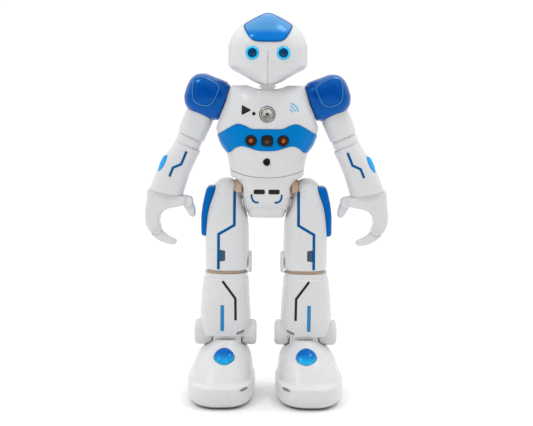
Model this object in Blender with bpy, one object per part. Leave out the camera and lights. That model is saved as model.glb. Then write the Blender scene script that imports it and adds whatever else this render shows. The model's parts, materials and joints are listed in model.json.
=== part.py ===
"""A toy humanoid coding robot, standing, modelled as its separate mouldings and joints.

It stands on z = 0 and faces -Y. Its own right hand is on the -X side, so a piece of its right
side has side = -1 and one of its left side has side = +1. Sizes below are in millimetres.
"""

import math

import bmesh
import bpy
from mathutils import Matrix, Vector

MM = 0.001
GAP = 0.35  # between mouldings that meet
CAVITY_DETAIL = 0.3  # share of a shell's outer facets that its inside keeps
WALL = 2.3  # of the head, body and leg shells
ROUND = 20  # corners of a head or body ring
LIMB_ROUND = 16  # corners of a limb's ring
SMALL_ROUND = 12  # corners of a small turned piece
REACH = 120.0  # longer than anything a cutter has to pass through

# Joint axes, measured on the left side
HEAD_PIVOT = Vector((0, 0, 218))
SHOULDER = Vector((40.6, 2, 208.3))
SHOULDER_TILT = math.radians(19.5)
ELBOW = Vector((53, 2, 178))
ARM_TILT = math.radians(23)
WRIST = Vector((68.5, 2, 142.5))
WRIST_TILT = math.radians(10)
FINGER_PIVOT = Vector((76, 2, 117))
THUMB_PIVOT = Vector((54.3, 2, 136.6))
LEG_Y = 4.0
HIP_Z = 142.5
KNEE_Z = 94.5
ANKLE_Z = 44.6
WHEEL_AXLE = Vector((30, 18, 7))

# Head and body
BUTTON = Vector((0, -22, 197.5))
BUTTON_RADIUS = 3.7
BEZEL_RADIUS = 5.2
SENSOR_Z = 180.0
SENSOR_X = 10.7
SENSOR_RADIUS = 3.2
EYE = Vector((10.2, -26.5, 237.7))
EYE_RADIUS = 4.3
BELLY = Vector((0, -17, 165.5))
BELLY_RADIUS = 2.3
NECK_RADIUS = 5.0
PANEL_DEPTH = 1.4  # of the pockets that coloured panels sit in
PANEL_RISE = 0.6  # of those panels above the shell round them
SEAM_Y = 3.0  # parting plane of head and body
SWITCH = Vector((-2, 14.5, 163))

# Arms and hands
PAD_RADIUS = 14.0
PAD_FACE = 12.2  # from the shoulder's centre to the pad's inner face
DRUM_RADIUS = 8.8
ELBOW_SEAM = 3.4  # from the elbow's axis to each sleeve's edge
TONGUE_RADIUS = 6.0
HAND_HALF = 7.5
FINGER_HALF = 6.0
KNUCKLE_RADIUS = 3.5
KNUCKLE_HALF = 2.2

# Legs and feet
HIP_DOME = Vector((9.3, 10.6, 10.6))
BARREL_RADIUS = 14.7
HIP_CLEARANCE = 0.7
THIGH_FOOT = 90.3
SHIN_TOP = 88.0
SHIN_FOOT = 46.5
KNEE_FLEX = math.radians(30)
LOBE_RADIUS = 8.9
OUTER_LOBE = (36.9, 49.6)
INNER_LOBE = (6.2, 16.2)
INSTEP_RADIUS = 10.4
SOLE_TOP = 5.0
SOLE_FOOT = 1.0
AXLE_RADIUS = 1.6
WHEEL_X = (18.5, 40.5)
WHEEL_WIDTH = 5.0
SKID = Vector((29.5, -24, 0))

# sRGB colours, roughness and metallic of each finish
FINISHES = {
    "white": ((0.90, 0.91, 0.93), 0.25, 0.0),
    "blue": ((0.02, 0.30, 0.68), 0.22, 0.0),
    "cyan": ((0.20, 0.82, 1.00), 0.20, 0.0),
    "amber": ((0.75, 0.36, 0.04), 0.20, 0.0),
    "smoke": ((0.05, 0.03, 0.03), 0.15, 0.0),
    "silver": ((0.72, 0.72, 0.70), 0.30, 1.0),
    "steel": ((0.60, 0.61, 0.63), 0.30, 1.0),
    "grey": ((0.22, 0.23, 0.24), 0.55, 0.0),
    "rubber": ((0.06, 0.06, 0.065), 0.80, 0.0),
    "board": ((0.03, 0.28, 0.12), 0.50, 0.0),
    "cell": ((0.12, 0.20, 0.55), 0.40, 0.0),
}


def clear_scene():
    for obj in list(bpy.data.objects):
        bpy.data.objects.remove(obj, do_unlink=True)


# ---- Solids ------------------------------------------------------------------------------


def as_object(bm):
    """A new object of these faces, which all point outwards."""
    bmesh.ops.recalc_face_normals(bm, faces=bm.faces)
    mesh = bpy.data.meshes.new("solid")
    bm.to_mesh(mesh)
    bm.free()
    obj = bpy.data.objects.new("solid", mesh)
    bpy.context.scene.collection.objects.link(obj)
    return obj


def loft(rings):
    """A closed solid through rings of equally many points, with a flat cap at each end."""
    bm = bmesh.new()
    loops = [[bm.verts.new(Vector(point) * MM) for point in ring] for ring in rings]
    for lower, upper in zip(loops, loops[1:]):
        for i in range(len(lower)):
            j = (i + 1) % len(lower)
            bm.faces.new((lower[i], lower[j], upper[j], upper[i]))
    bm.faces.new(loops[0])
    bm.faces.new(loops[-1])
    return as_object(bm)


def oval(half_a, half_b, power=2.0, count=ROUND):
    """Points round a superellipse, symmetric about both its axes."""
    points = []
    for step in range(count):
        angle = 2 * math.pi * (step + 0.5) / count
        cos, sin = math.cos(angle), math.sin(angle)
        a = math.copysign(abs(cos) ** (2 / power), cos) * half_a
        b = math.copysign(abs(sin) ** (2 / power), sin) * half_b
        points.append((a, b))
    return points


def level_ring(z, inner, outer, front, rear, power, side=1, count=ROUND):
    """A level ring between two distances from the middle plane and two values of y."""
    x, y = side * (inner + outer) / 2, (front + rear) / 2
    return [(x + a, y + b, z) for a, b in oval((outer - inner) / 2, (rear - front) / 2, power, count)]


def stacked(sections, side=1, count=ROUND):
    """A loft through level rings, each (z, inner, outer, front, rear, power)."""
    return loft([level_ring(*section, side=side, count=count) for section in sections])


def frame_ring(origin, out, down, q, low, high, half_y, power, count=LIMB_ROUND):
    """A ring square to the direction down, q along it, from low to high along the direction out."""
    centre = origin + down * q + out * ((low + high) / 2)
    return [
        centre + out * a + Vector((0, b, 0)) for a, b in oval((high - low) / 2, half_y, power, count)
    ]


def turned(origin, axis, profile, count=SMALL_ROUND):
    """A round solid about axis through origin, from (distance along the axis, radius) pairs."""
    axis = Vector(axis).normalized()
    turn = axis.to_track_quat("Z", "Y").to_matrix()
    rings = []
    for along, radius in profile:
        centre = Vector(origin) + axis * along
        rings.append([centre + turn @ Vector((a, b, 0)) for a, b in oval(radius, radius, 2.0, count)])
    return loft(rings)


def rod(start, end, radius, count=SMALL_ROUND):
    start, end = Vector(start), Vector(end)
    return turned(start, end - start, [(0, radius), ((end - start).length, radius)], count)


def slab(outline, near, far):
    """An outline of (x, z) points, extruded from y = near to y = far."""
    return loft([[(x, y, z) for x, z in outline] for y in (near, far)])


def eased_slab(outline, near, far, ease):
    """The same, with the edges of both its faces chamfered by ease."""
    count = len(outline)
    doubled_area = 0
    for i, (x, z) in enumerate(outline):
        next_x, next_z = outline[(i + 1) % count]
        doubled_area += x * next_z - next_x * z
    turn = math.copysign(1, doubled_area)
    inset = []
    for i, (x, z) in enumerate(outline):
        before, after = Vector(outline[i - 1]), Vector(outline[(i + 1) % count])
        along = (after - before).normalized() * turn
        inset.append((x - along.y * ease, z + along.x * ease))
    rows = ((inset, near), (outline, near + ease), (outline, far - ease), (inset, far))
    return loft([[(x, y, z) for x, z in points] for points, y in rows])


def block(low, high):
    x0, y0, z0 = low
    x1, y1, z1 = high
    return slab([(x0, z0), (x1, z0), (x1, z1), (x0, z1)], y0, y1)


def boolean(target, tool, operation):
    """Cuts, joins or crosses target with tool, which is used up."""
    modifier = target.modifiers.new("boolean", "BOOLEAN")
    modifier.operation = operation
    modifier.solver = "EXACT"
    modifier.object = tool
    graph = bpy.context.evaluated_depsgraph_get()
    mesh = bpy.data.meshes.new_from_object(target.evaluated_get(graph))
    target.modifiers.clear()
    target.data = mesh
    bpy.data.objects.remove(tool, do_unlink=True)
    return target


def cut(target, *tools):
    for tool in tools:
        boolean(target, tool, "DIFFERENCE")
    return target


def join(target, *tools):
    for tool in tools:
        boolean(target, tool, "UNION")
    return target


def cross(target, tool):
    return boolean(target, tool, "INTERSECT")


def duplicate(obj):
    copy = bpy.data.objects.new("solid", obj.data.copy())
    bpy.context.scene.collection.objects.link(copy)
    return copy


def offset(obj, distance):
    """A copy whose surface lies this far outside obj's, or inside it where negative."""
    copy = duplicate(obj)
    normals = [vertex.normal.copy() for vertex in copy.data.vertices]
    for vertex, normal in zip(copy.data.vertices, normals):
        vertex.co += normal * distance * MM
    return copy


def cavity(solid, z_low=None):
    """The hollow of a shell of this outer shape, coarser than it, and carried down to z_low."""
    core = offset(solid, -WALL)
    modifier = core.modifiers.new("coarse", "DECIMATE")
    modifier.ratio = CAVITY_DETAIL
    graph = bpy.context.evaluated_depsgraph_get()
    mesh = bpy.data.meshes.new_from_object(core.evaluated_get(graph))
    core.modifiers.clear()
    core.data = mesh
    if z_low is not None:
        floor = min(vertex.co.z for vertex in mesh.vertices) + 0.5 * MM
        for vertex in mesh.vertices:
            if vertex.co.z < floor:
                vertex.co.z = z_low * MM
    return core


def half_space(y, direction):
    """Everything behind the plane y where direction is +1, or in front of it where it is -1."""
    low, high = sorted((y, y + direction * REACH))
    return block((-REACH, low, -REACH), (REACH, high, 3 * REACH))


def split_at(obj, y):
    """The front and the rear piece of obj, with half a gap on each side of the plane."""
    rear = duplicate(obj)
    return cut(obj, half_space(y - GAP / 2, 1)), cut(rear, half_space(y + GAP / 2, -1))


# ---- Naming, finishes and joints ---------------------------------------------------------


def finish_material(name):
    material = bpy.data.materials.get(name)
    if material:
        return material
    colour, roughness, metallic = FINISHES[name]
    material = bpy.data.materials.new(name)
    material.use_nodes = True
    shader = material.node_tree.nodes["Principled BSDF"]
    shader.inputs["Base Color"].default_value = (*colour, 1)
    shader.inputs["Roughness"].default_value = roughness
    shader.inputs["Metallic"].default_value = metallic
    return material


def pivot(name, place, parent=None):
    """An empty on a joint's axis, which the pieces that turn about it hang from."""
    empty = bpy.data.objects.new(name, None)
    empty.empty_display_size = 0.01
    bpy.context.scene.collection.objects.link(empty)
    empty["place"] = [value * MM for value in place]
    empty.location = Vector(place) * MM
    if parent:
        empty.parent = parent
        empty.location -= Vector(parent["place"])
    return empty


def piece(obj, name, finish, body):
    """Names a finished solid, gives it its finish and hangs it from its body's pivot."""
    obj.name = name
    obj.data.name = name
    obj.data.materials.clear()
    material = finish_material(finish).copy()
    material.name = f"{name}_{finish}"
    obj.data.materials.append(material)
    obj.data.transform(Matrix.Translation(-Vector(body["place"])))
    obj.parent = body
    obj.data.shade_smooth()
    obj.data.set_sharp_from_angle(angle=math.radians(35))
    return obj


def mirrored(point, side):
    return Vector((side * point[0], point[1], point[2]))


def side_name(side):
    return "right" if side < 0 else "left"


def tilted(angle, side):
    """The outward and the downward direction of a limb that leans out by angle."""
    out = Vector((side * math.cos(angle), 0, math.sin(angle)))
    down = Vector((side * math.sin(angle), 0, -math.cos(angle)))
    return out, down


# ---- Head --------------------------------------------------------------------------------


def head_solid():
    sections = [
        (216.6, -4.0, 4.0, -15.0, 8.0, 2.0),
        (218.6, -9.0, 9.0, -20.5, 12.0, 1.9),
        (222.4, -16.5, 16.5, -24.0, 16.5, 2.0),
        (227.6, -24.9, 24.9, -26.6, 20.8, 2.2),
        (234.0, -25.6, 25.6, -27.6, 23.0, 2.4),
        (241.0, -25.4, 25.4, -27.4, 23.8, 2.5),
        (247.5, -24.0, 24.0, -26.2, 23.4, 2.4),
        (253.2, -20.8, 20.8, -23.4, 21.4, 2.3),
        (258.2, -16.0, 16.0, -19.0, 17.6, 2.2),
        (262.2, -9.6, 9.6, -13.0, 12.0, 2.0),
        (264.2, -3.4, 3.4, -6.0, 5.0, 2.0),
    ]
    return stacked(sections)


def visor_outline(grow):
    """The five-sided forehead panel, seen from the front, with its corners eased."""
    right_half = [(2.2, 264.6), (15.6, 256.6), (16.2, 255.2), (11.4, 246.2), (9.6, 244.7)]
    centre = Vector((0, 253))
    points = []
    for x, z in right_half + [(-x, z) for x, z in reversed(right_half)]:
        away = (Vector((x, z)) - centre).normalized() * grow
        points.append((x + away.x, z + away.y))
    return points


def inlaid_panel(solid, outline, near, far):
    """(panel, pocket cutter) for a coloured panel let into the face of a solid."""
    panel = cross(slab(outline(0), near, far), offset(solid, PANEL_RISE))
    cut(panel, offset(solid, GAP - PANEL_DEPTH))
    pocket = cut(slab(outline(GAP), near, far), offset(solid, -PANEL_DEPTH))
    return panel, pocket


def make_head(torso):
    body = pivot("head_pivot", HEAD_PIVOT, torso)
    solid = head_solid()
    shell = cut(duplicate(solid), cavity(solid))
    cut(shell, rod((0, 0, 210), (0, 0, 226), NECK_RADIUS + 2 * GAP))
    face, rear = split_at(shell, SEAM_Y)
    visor, pocket = inlaid_panel(solid, visor_outline, -40, -2)
    cut(face, pocket)
    for side in (-1, 1):
        eye = mirrored(EYE, side)
        cut(face, rod(eye - Vector((0, 6, 0)), eye + Vector((0, 8, 0)), EYE_RADIUS + GAP))
        profile = [(-0.9, 2.4), (-0.9, 2.9), (-1.4, 3.4), (-1.2, 4.0)]
        profile += [(-0.6, EYE_RADIUS), (3.4, EYE_RADIUS)]
        lens = turned(eye, (0, 1, 0), profile, LIMB_ROUND)
        piece(lens, f"{side_name(side)}_eye", "cyan", body)
        make_ear(side, body, face, rear)
    bpy.data.objects.remove(solid, do_unlink=True)
    piece(face, "face_shell", "white", body)
    piece(rear, "head_rear_shell", "white", body)
    piece(visor, "visor", "blue", body)


def make_ear(side, body, *shells):
    """A shallow side cover over the seam of the two head shells, on a spigot through them."""
    cover = stacked(
        [
            (228.2, 25.3, 26.6, -6.0, 11.0, 4.0),
            (230.5, 24.0, 27.4, -9.0, 14.0, 4.0),
            (242.5, 24.0, 27.4, -9.0, 14.0, 4.0),
            (245.4, 24.6, 26.4, -6.0, 11.0, 4.0),
        ],
        side,
    )
    clearance = offset(cover, GAP)
    for shell in shells:
        cut(shell, duplicate(clearance))
    bpy.data.objects.remove(clearance, do_unlink=True)
    piece(cover, f"{side_name(side)}_ear_cover", "white", body)


# ---- Body --------------------------------------------------------------------------------


def torso_solid():
    sections = [
        (150.0, -25.4, 25.4, -14.2, 16.0, 2.6),
        (160.0, -25.7, 25.7, -15.2, 17.0, 2.6),
        (168.0, -27.0, 27.0, -17.2, 18.4, 2.5),
        (179.0, -32.2, 32.2, -20.8, 20.4, 2.4),
        (188.5, -34.7, 34.7, -22.4, 21.6, 2.4),
        (196.0, -33.2, 33.2, -22.4, 21.8, 2.4),
        (204.0, -30.4, 30.4, -20.8, 21.0, 2.4),
        (210.5, -27.8, 27.8, -18.0, 18.8, 2.4),
        (214.4, -25.0, 25.0, -14.4, 15.6, 2.3),
        (216.2, -20.5, 20.5, -10.5, 12.0, 2.2),
    ]
    return stacked(sections)


def waist_arc(lower):
    """Points of the waist seam, lowest in the middle, shifted down by lower."""
    radius = 68.5
    points = []
    for step in range(-4, 5):
        x = 8.0 * step
        points.append((x, 154.8 - lower + radius - math.sqrt(radius**2 - x**2)))
    return points


def band_outline(grow):
    """The blue band: two humps over the sensors, its tips at the sides of the chest."""
    right_half = [(0, 187.0), (10.5, 187.6), (14.5, 189.8), (19.6, 191.3), (25.0, 188.6), (36.0, 181.5)]
    lower_half = [(36.0, 178.8), (26.0, 170.6), (20.5, 175.6), (16.4, 176.6), (9.0, 173.6), (0, 172.9)]
    outline = []
    for x, z in right_half:
        outline.append((x, z + grow))
    for x, z in lower_half:
        outline.append((x, z - grow))
    for x, z in reversed(lower_half[:-1]):
        outline.append((-x, z - grow))
    for x, z in reversed(right_half[1:]):
        outline.append((-x, z + grow))
    return outline


def cover_outline(grow):
    """The battery door: a rectangle with its corners taken off."""
    half, low, high, corner = 15.0 + grow, 170.0 - grow, 203.0 + grow, 3.0
    return [
        (half, low + corner),
        (half, high - corner),
        (half - corner, high),
        (corner - half, high),
        (-half, high - corner),
        (-half, low + corner),
        (corner - half, low),
        (half - corner, low),
    ]


def torso_shell(solid):
    shell = cut(duplicate(solid), cavity(solid))
    cut(shell, slab([(-32, 120), (32, 120)] + waist_arc(0)[::-1], -40, 40))
    collar = 31.3
    cut(shell, turned((0, -40, 213 + collar), (0, 1, 0), [(0, collar), (80, collar)], 48))
    cut(shell, rod((0, 0, 190), (0, 0, 230), NECK_RADIUS + GAP))
    for side in (-1, 1):
        out, _ = tilted(SHOULDER_TILT, side)
        centre = mirrored(SHOULDER, side)
        face = centre - out * (PAD_FACE + GAP)
        cut(shell, rod(face, face + out * 40, 22, ROUND))
        cut(shell, rod(centre - out * 30, centre, 4.5 + GAP))
    return shell


def make_torso():
    body = pivot("torso_origin", (0, 0, 0))
    solid = torso_solid()
    chest, back = split_at(torso_shell(solid), SEAM_Y)
    band, pocket = inlaid_panel(solid, band_outline, -40, SEAM_Y - 4)
    cut(chest, pocket)
    door, recess = inlaid_panel(solid, cover_outline, SEAM_Y + 4, 40)
    cut(back, recess)
    cut(back, block((-11, 10, 173), (11, 30, 200)))
    for side in (-1, 1):
        out, _ = tilted(SHOULDER_TILT, side)
        face = mirrored(SHOULDER, side) - out * (PAD_FACE + GAP)
        cut(band, rod(face, face + out * 40, 22, ROUND))
    make_sensors(body, chest, band)
    make_button(body, chest)
    make_switch(body, back)
    piece(chest, "chest_shell", "white", body)
    piece(back, "back_shell", "white", body)
    piece(band, "chest_band", "blue", body)
    piece(door, "battery_cover", "white", body)
    bpy.data.objects.remove(solid, do_unlink=True)
    piece(block((-10, -1, 171), (10, 12.5, 201)), "battery_pack", "cell", body)
    piece(block((-20, -8, 168), (20, -6.4, 204)), "circuit_board", "board", body)
    neck_profile = [(-12, 8), (-10, 8), (-10, NECK_RADIUS), (5, NECK_RADIUS), (5, 7.5), (7, 7.5)]
    piece(turned(HEAD_PIVOT, (0, 0, 1), neck_profile, LIMB_ROUND), "neck_post", "white", body)
    piece(pelvis(), "pelvis_shell", "white", body)
    return body


def make_sensors(body, chest, band):
    """The two round sensors, the square one between them and the small one below."""
    lens = [(-1.0, 1.6), (-0.9, 2.4), (0.0, SENSOR_RADIUS), (6.0, SENSOR_RADIUS)]
    for side in (-1, 1):
        place = Vector((side * SENSOR_X, -21.0, SENSOR_Z))
        for shell in (chest, band):
            cut(shell, rod(place - Vector((0, 9, 0)), place + Vector((0, 9, 0)), SENSOR_RADIUS + GAP))
        piece(turned(place, (0, 1, 0), lens), f"{side_name(side)}_sensor", "amber", body)
    for shell in (chest, band):
        cut(shell, square_sensor(3.3 + GAP, -30, -12))
    piece(square_sensor(3.3, -22.3, -15), "centre_sensor", "smoke", body)
    lens = [(-0.4, 1.2), (-0.1, BELLY_RADIUS), (5.0, BELLY_RADIUS)]
    cut(chest, rod(BELLY - Vector((0, 9, 0)), BELLY + Vector((0, 9, 0)), BELLY_RADIUS + GAP))
    piece(turned(BELLY, (0, 1, 0), lens), "belly_sensor", "smoke", body)


def square_sensor(half, near, far):
    points = [(x, z + SENSOR_Z) for x, z in oval(half, half, 5.0, 12)]
    return slab(points, near, far)


def make_button(body, chest):
    """A ring pressed into the chest, and the button that slides in it on its stem."""
    front, rear = BUTTON - Vector((0, 9, 0)), BUTTON + Vector((0, 9, 0))
    cut(chest, rod(front, rear, BEZEL_RADIUS + GAP))
    profile = [(-1.0, 4.6), (-0.5, BEZEL_RADIUS), (4.0, BEZEL_RADIUS)]
    ring = turned(BUTTON, (0, 1, 0), profile, LIMB_ROUND)
    cut(ring, rod(front, rear, BUTTON_RADIUS + GAP, LIMB_ROUND))
    piece(ring, "button_bezel", "silver", body)
    press = pivot("button_pivot", BUTTON, body)
    profile = [(-1.5, 2.6), (-1.2, BUTTON_RADIUS), (4.0, BUTTON_RADIUS), (4.0, 1.5), (12.0, 1.5)]
    piece(turned(BUTTON, (0, 1, 0), profile, LIMB_ROUND), "chest_button", "silver", press)


def make_switch(body, back):
    """The on-off slider, in a slot low on the back."""
    x, y, z = SWITCH
    cut(back, block((-5, 8, z - 1.8), (5, 25, z + 1.8)))
    slider = pivot("switch_pivot", SWITCH, body)
    outline = [(x + a, z + b) for a, b in oval(2.4, 1.4, 5.0, 12)]
    knob = eased_slab(outline, y - 3.5, y + 3.6, 0.4)
    piece(knob, "power_switch", "grey", slider)


def barrel(grow):
    """The pelvis's hip barrel, round about the hip axis and rounded off at its ends."""
    half = [(11.4, BARREL_RADIUS), (14.2, 12.4), (16.2, 7.6), (17.0, 1.5)]
    profile = []
    for x, radius in reversed(half):
        profile.append((-x - grow, radius + grow))
    for x, radius in half:
        profile.append((x + grow, radius + grow))
    return turned((0, LEG_Y, HIP_Z), (1, 0, 0), profile, LIMB_ROUND)


def pelvis():
    sections = [
        (141.0, -16.6, 16.6, -10.4, 18.4, 5.0),
        (147.0, -17.0, 17.0, -11.4, 18.4, 4.0),
        (150.6, -18.4, 18.4, -12.0, 18.0, 3.6),
        (152.8, -21.0, 21.0, -12.6, 17.4, 3.2),
        (154.6, -24.6, 24.6, -13.4, 16.6, 2.8),
        (156.5, -25.3, 25.3, -14.0, 16.4, 2.6),
        (164.0, -25.5, 25.5, -14.4, 16.6, 2.6),
    ]
    solid = stacked(sections)
    cut(solid, slab([(-32, 190), (32, 190)] + waist_arc(GAP)[::-1], -40, 40))
    join(solid, barrel(0), block((-14.3, -7.5, 150), (14.3, 9.3, 160.4)))
    join(solid, rod((-23, LEG_Y, HIP_Z), (23, LEG_Y, HIP_Z), 4.0))
    cut(solid, block((-12, -5.5, 135), (12, 7.5, 170)))
    for side in (-1, 1):
        slot = [(x + side * 4.8, z + 144.8) for x, z in oval(3.6, 1.1, 4.0, 12)]
        cut(solid, slab(slot, -20, LEG_Y - BARREL_RADIUS + 1.6))
    return solid


# ---- Arms --------------------------------------------------------------------------------


def arm_frame(side):
    out, down = tilted(ARM_TILT, side)
    return mirrored(ELBOW, side), out, down


def upper_arm_solid(side, grow=0.0):
    origin, out, down = arm_frame(side)
    rows = [(-27, -7.5, 8.5), (-16, -9.3, 10.4), (-4, -9.0, 9.9), (-ELBOW_SEAM, -8.7, 9.6)]
    rings = []
    for q, low, high in rows:
        end = grow if q == rows[0][0] else 0
        rings.append(frame_ring(origin, out, down, q - end, low - grow, high + grow, 9.6 + grow, 2.5))
    return loft(rings)


def make_pad(side, body):
    """The domed shoulder cover, with its stub axle into the body and its socket for the arm."""
    out, down = tilted(SHOULDER_TILT, side)
    centre = mirrored(SHOULDER, side)
    rows = [
        (-PAD_FACE, 11.6, 11.6),
        (-10.4, 13.6, 13.4),
        (-3.0, PAD_RADIUS, PAD_RADIUS),
        (5.0, 13.6, 13.8),
        (10.2, 11.6, 12.0),
        (13.6, 8.2, 8.8),
        (15.3, 4.0, 4.4),
    ]
    rings = []
    for u, half_v, half_y in rows:
        middle = centre + out * u - down * (0.05 * max(u, 0))
        rings.append([middle - down * a + Vector((0, b, 0)) for a, b in oval(half_v, half_y, 2.7)])
    pad = loft(rings)
    socket = upper_arm_solid(side, GAP)
    cut(pad, socket)
    join(pad, rod(centre - out * 17.5, centre - out * 10.5, 4.5))
    piece(pad, f"{side_name(side)}_shoulder_pad", "blue", body)


def make_upper_arm(side, body):
    """A sleeve whose lower end cups the elbow drum, with a tongue that reaches to the elbow's axis."""
    origin, out, down = arm_frame(side)
    sleeve = upper_arm_solid(side)
    cut(sleeve, rod(origin - out * 20, origin + out * 20, DRUM_RADIUS + 2 * GAP, ROUND))
    join(sleeve, rod(origin - out * 3, origin + out * 3, TONGUE_RADIUS))
    neck = []
    for q in (-14, 0):
        neck.append(frame_ring(origin, out, down, q, -3, 3, 2.4, 6.0, 8))
    join(sleeve, loft(neck))
    piece(sleeve, f"{side_name(side)}_upper_arm", "white", body)


def elbow_slot(side):
    """The drum's slot for the tongue, open over the angles that the elbow turns through."""
    origin, out, down = arm_frame(side)
    outline = [(0, 0)]
    for degrees in (-24, 15, 56):
        angle = math.radians(degrees)
        outline.append((-math.sin(angle) * 16, -math.cos(angle) * 16))
    rings = []
    for p in (-3.5, 3.5):
        rings.append([origin + out * p + Vector((0, y, 0)) + down * q for y, q in outline])
    return loft(rings)


def make_forearm(side, body, hand):
    origin, out, down = arm_frame(side)
    rows = [
        (ELBOW_SEAM, -9.5, 9.2, 9.4),
        (8.0, -9.2, 9.7, 9.9),
        (18.0, -8.8, 11.9, 10.6),
        (31.0, -9.8, 12.8, 10.6),
        (50.0, -11.6, 11.6, 9.4),
    ]
    forearm = loft([frame_ring(origin, out, down, *row, 2.4) for row in rows])
    join(forearm, rod(origin - out * 8.6, origin + out * 9.0, DRUM_RADIUS, ROUND))
    cut(forearm, rod(origin - out * 3.5, origin + out * 3.5, TONGUE_RADIUS + 2 * GAP), elbow_slot(side))
    wrist = mirrored(WRIST, side)
    hand_out, hand_down = tilted(WRIST_TILT, side)
    seam = wrist - hand_down * GAP
    cut(forearm, turned(seam, hand_down, [(0, 40), (40, 40)], 8))
    cut(forearm, rod(wrist - hand_down * 7.5, wrist + hand_down, 4.0 + GAP))
    badge_centre = origin + down * 24 + out * 12.2 - Vector((0, 2.5, 0))
    badge_rings = []
    for depth, long, wide in ((-1.6, 6.0, 2.7), (0.6, 6.0, 2.7), (1.3, 5.0, 1.9)):
        centre = badge_centre + out * depth
        badge_rings.append([centre + down * a + Vector((0, b, 0)) for a, b in oval(long, wide, 2.0, 14)])
    badge = loft(badge_rings)
    cut(forearm, offset(badge, GAP))
    piece(badge, f"{side_name(side)}_forearm_badge", "blue", body)
    piece(forearm, f"{side_name(side)}_forearm", "white", body)


# ---- Hands -------------------------------------------------------------------------------


def hand_outline(points, side):
    return [(side * x, z) for x, z in points]


def knuckle(centre, radius, low, high):
    """A round about the direction y, from low to high either side of the hand's middle."""
    return rod((centre.x, WRIST.y + low, centre.z), (centre.x, WRIST.y + high, centre.z), radius)


def make_hand(side, wrist_body):
    """The palm with the long finger's first half, and the fingertip and thumb hinged to it."""
    tip_at, thumb_at = mirrored(FINGER_PIVOT, side), mirrored(THUMB_PIVOT, side)
    y = WRIST.y
    wrist = mirrored(WRIST, side)
    _, hand_down = tilted(WRIST_TILT, side)

    top = [(80.0, 145.2), (56.4, 141.0)]
    inner = [(54.6, 136.6), (57.0, 133.2), (62.5, 132.6), (68.0, 131.3), (71.2, 129.2), (73.0, 126.2)]
    finger = [(73.6, 122.0), (73.1, 118.6), (79.6, 115.6), (82.0, 118.8), (83.4, 123.4), (83.5, 129.0)]
    outer = [(82.4, 138.0)]
    palm = eased_slab(hand_outline(top + inner + finger + outer, side), y - HAND_HALF, y + HAND_HALF, 2.0)
    cut(palm, turned(wrist, hand_down, [(-40, 60), (0, 60)], 8))
    for centre in (tip_at, thumb_at):
        join(palm, knuckle(centre, KNUCKLE_RADIUS, -FINGER_HALF + 0.3, FINGER_HALF - 0.3))
        slot_half = KNUCKLE_HALF + GAP
        cut(palm, knuckle(centre, KNUCKLE_RADIUS + 2 * GAP, -slot_half, slot_half))
    tip_slot = [(72.0, 119.0), (79.6, 119.4), (84, 113), (76, 106), (66, 112)]
    thumb_slot = [(52.6, 141.5), (46, 141), (46, 128), (56.4, 128), (57.8, 136.6)]
    for slot in (tip_slot, thumb_slot):
        cut(palm, slab(hand_outline(slot, side), y - slot_half, y + slot_half))
    join(palm, rod(wrist - hand_down * 6.5, wrist + hand_down * 3, 4.0))
    piece(palm, f"{side_name(side)}_palm", "white", wrist_body)

    tip = [(79.2, 115.4), (78.2, 112.8), (73.6, 109.4), (68.6, 107.4), (63.4, 106.8), (61.6, 107.8)]
    tip += [(62.6, 109.8), (66.8, 111.6), (70.0, 113.8), (72.2, 116.2)]
    make_digit(side, "fingertip", tip, tip_at, FINGER_HALF, wrist_body)
    thumb = [(57.2, 134.4), (54.6, 129.6), (52.4, 126.4), (50.2, 125.8), (49.0, 127.2)]
    thumb += [(49.2, 131.4), (50.8, 136.2), (53.6, 139.4)]
    make_digit(side, "thumb", thumb, thumb_at, 4.6, wrist_body)


def make_digit(side, name, outline, centre, half, wrist_body):
    """A finger piece whose narrow root turns between the cheeks of a knuckle."""
    y = WRIST.y
    body = pivot(f"{side_name(side)}_{name}_pivot", centre, wrist_body)
    digit = eased_slab(hand_outline(outline, side), y - half, y + half, 1.2)
    cut(digit, knuckle(centre, KNUCKLE_RADIUS + 2 * GAP, -HAND_HALF - 2, HAND_HALF + 2))
    root = knuckle(centre, KNUCKLE_RADIUS, -KNUCKLE_HALF, KNUCKLE_HALF)
    middle = sum((Vector((side * x, 0, z)) for x, z in outline), Vector()) / len(outline)
    away = Vector((middle.x - centre.x, 0, middle.z - centre.z)).normalized()
    across = Vector((away.z, 0, -away.x))
    bridge = []
    for along in (0.5, 6.0):
        place = centre + away * along
        corners = ((-2, -1), (2, -1), (2, 1), (-2, 1))
        bridge.append([place + across * a + Vector((0, b * KNUCKLE_HALF, 0)) for a, b in corners])
    join(root, loft(bridge))
    join(digit, root)
    piece(digit, f"{side_name(side)}_{name}", "white", body)


def make_arm(side, torso):
    name = side_name(side)
    shoulder = pivot(f"{name}_shoulder_pivot", mirrored(SHOULDER, side), torso)
    elbow = pivot(f"{name}_elbow_pivot", mirrored(ELBOW, side), shoulder)
    wrist = pivot(f"{name}_wrist_pivot", mirrored(WRIST, side), elbow)
    make_pad(side, shoulder)
    make_upper_arm(side, shoulder)
    make_forearm(side, elbow, wrist)
    make_hand(side, wrist)


# ---- Legs --------------------------------------------------------------------------------


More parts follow.
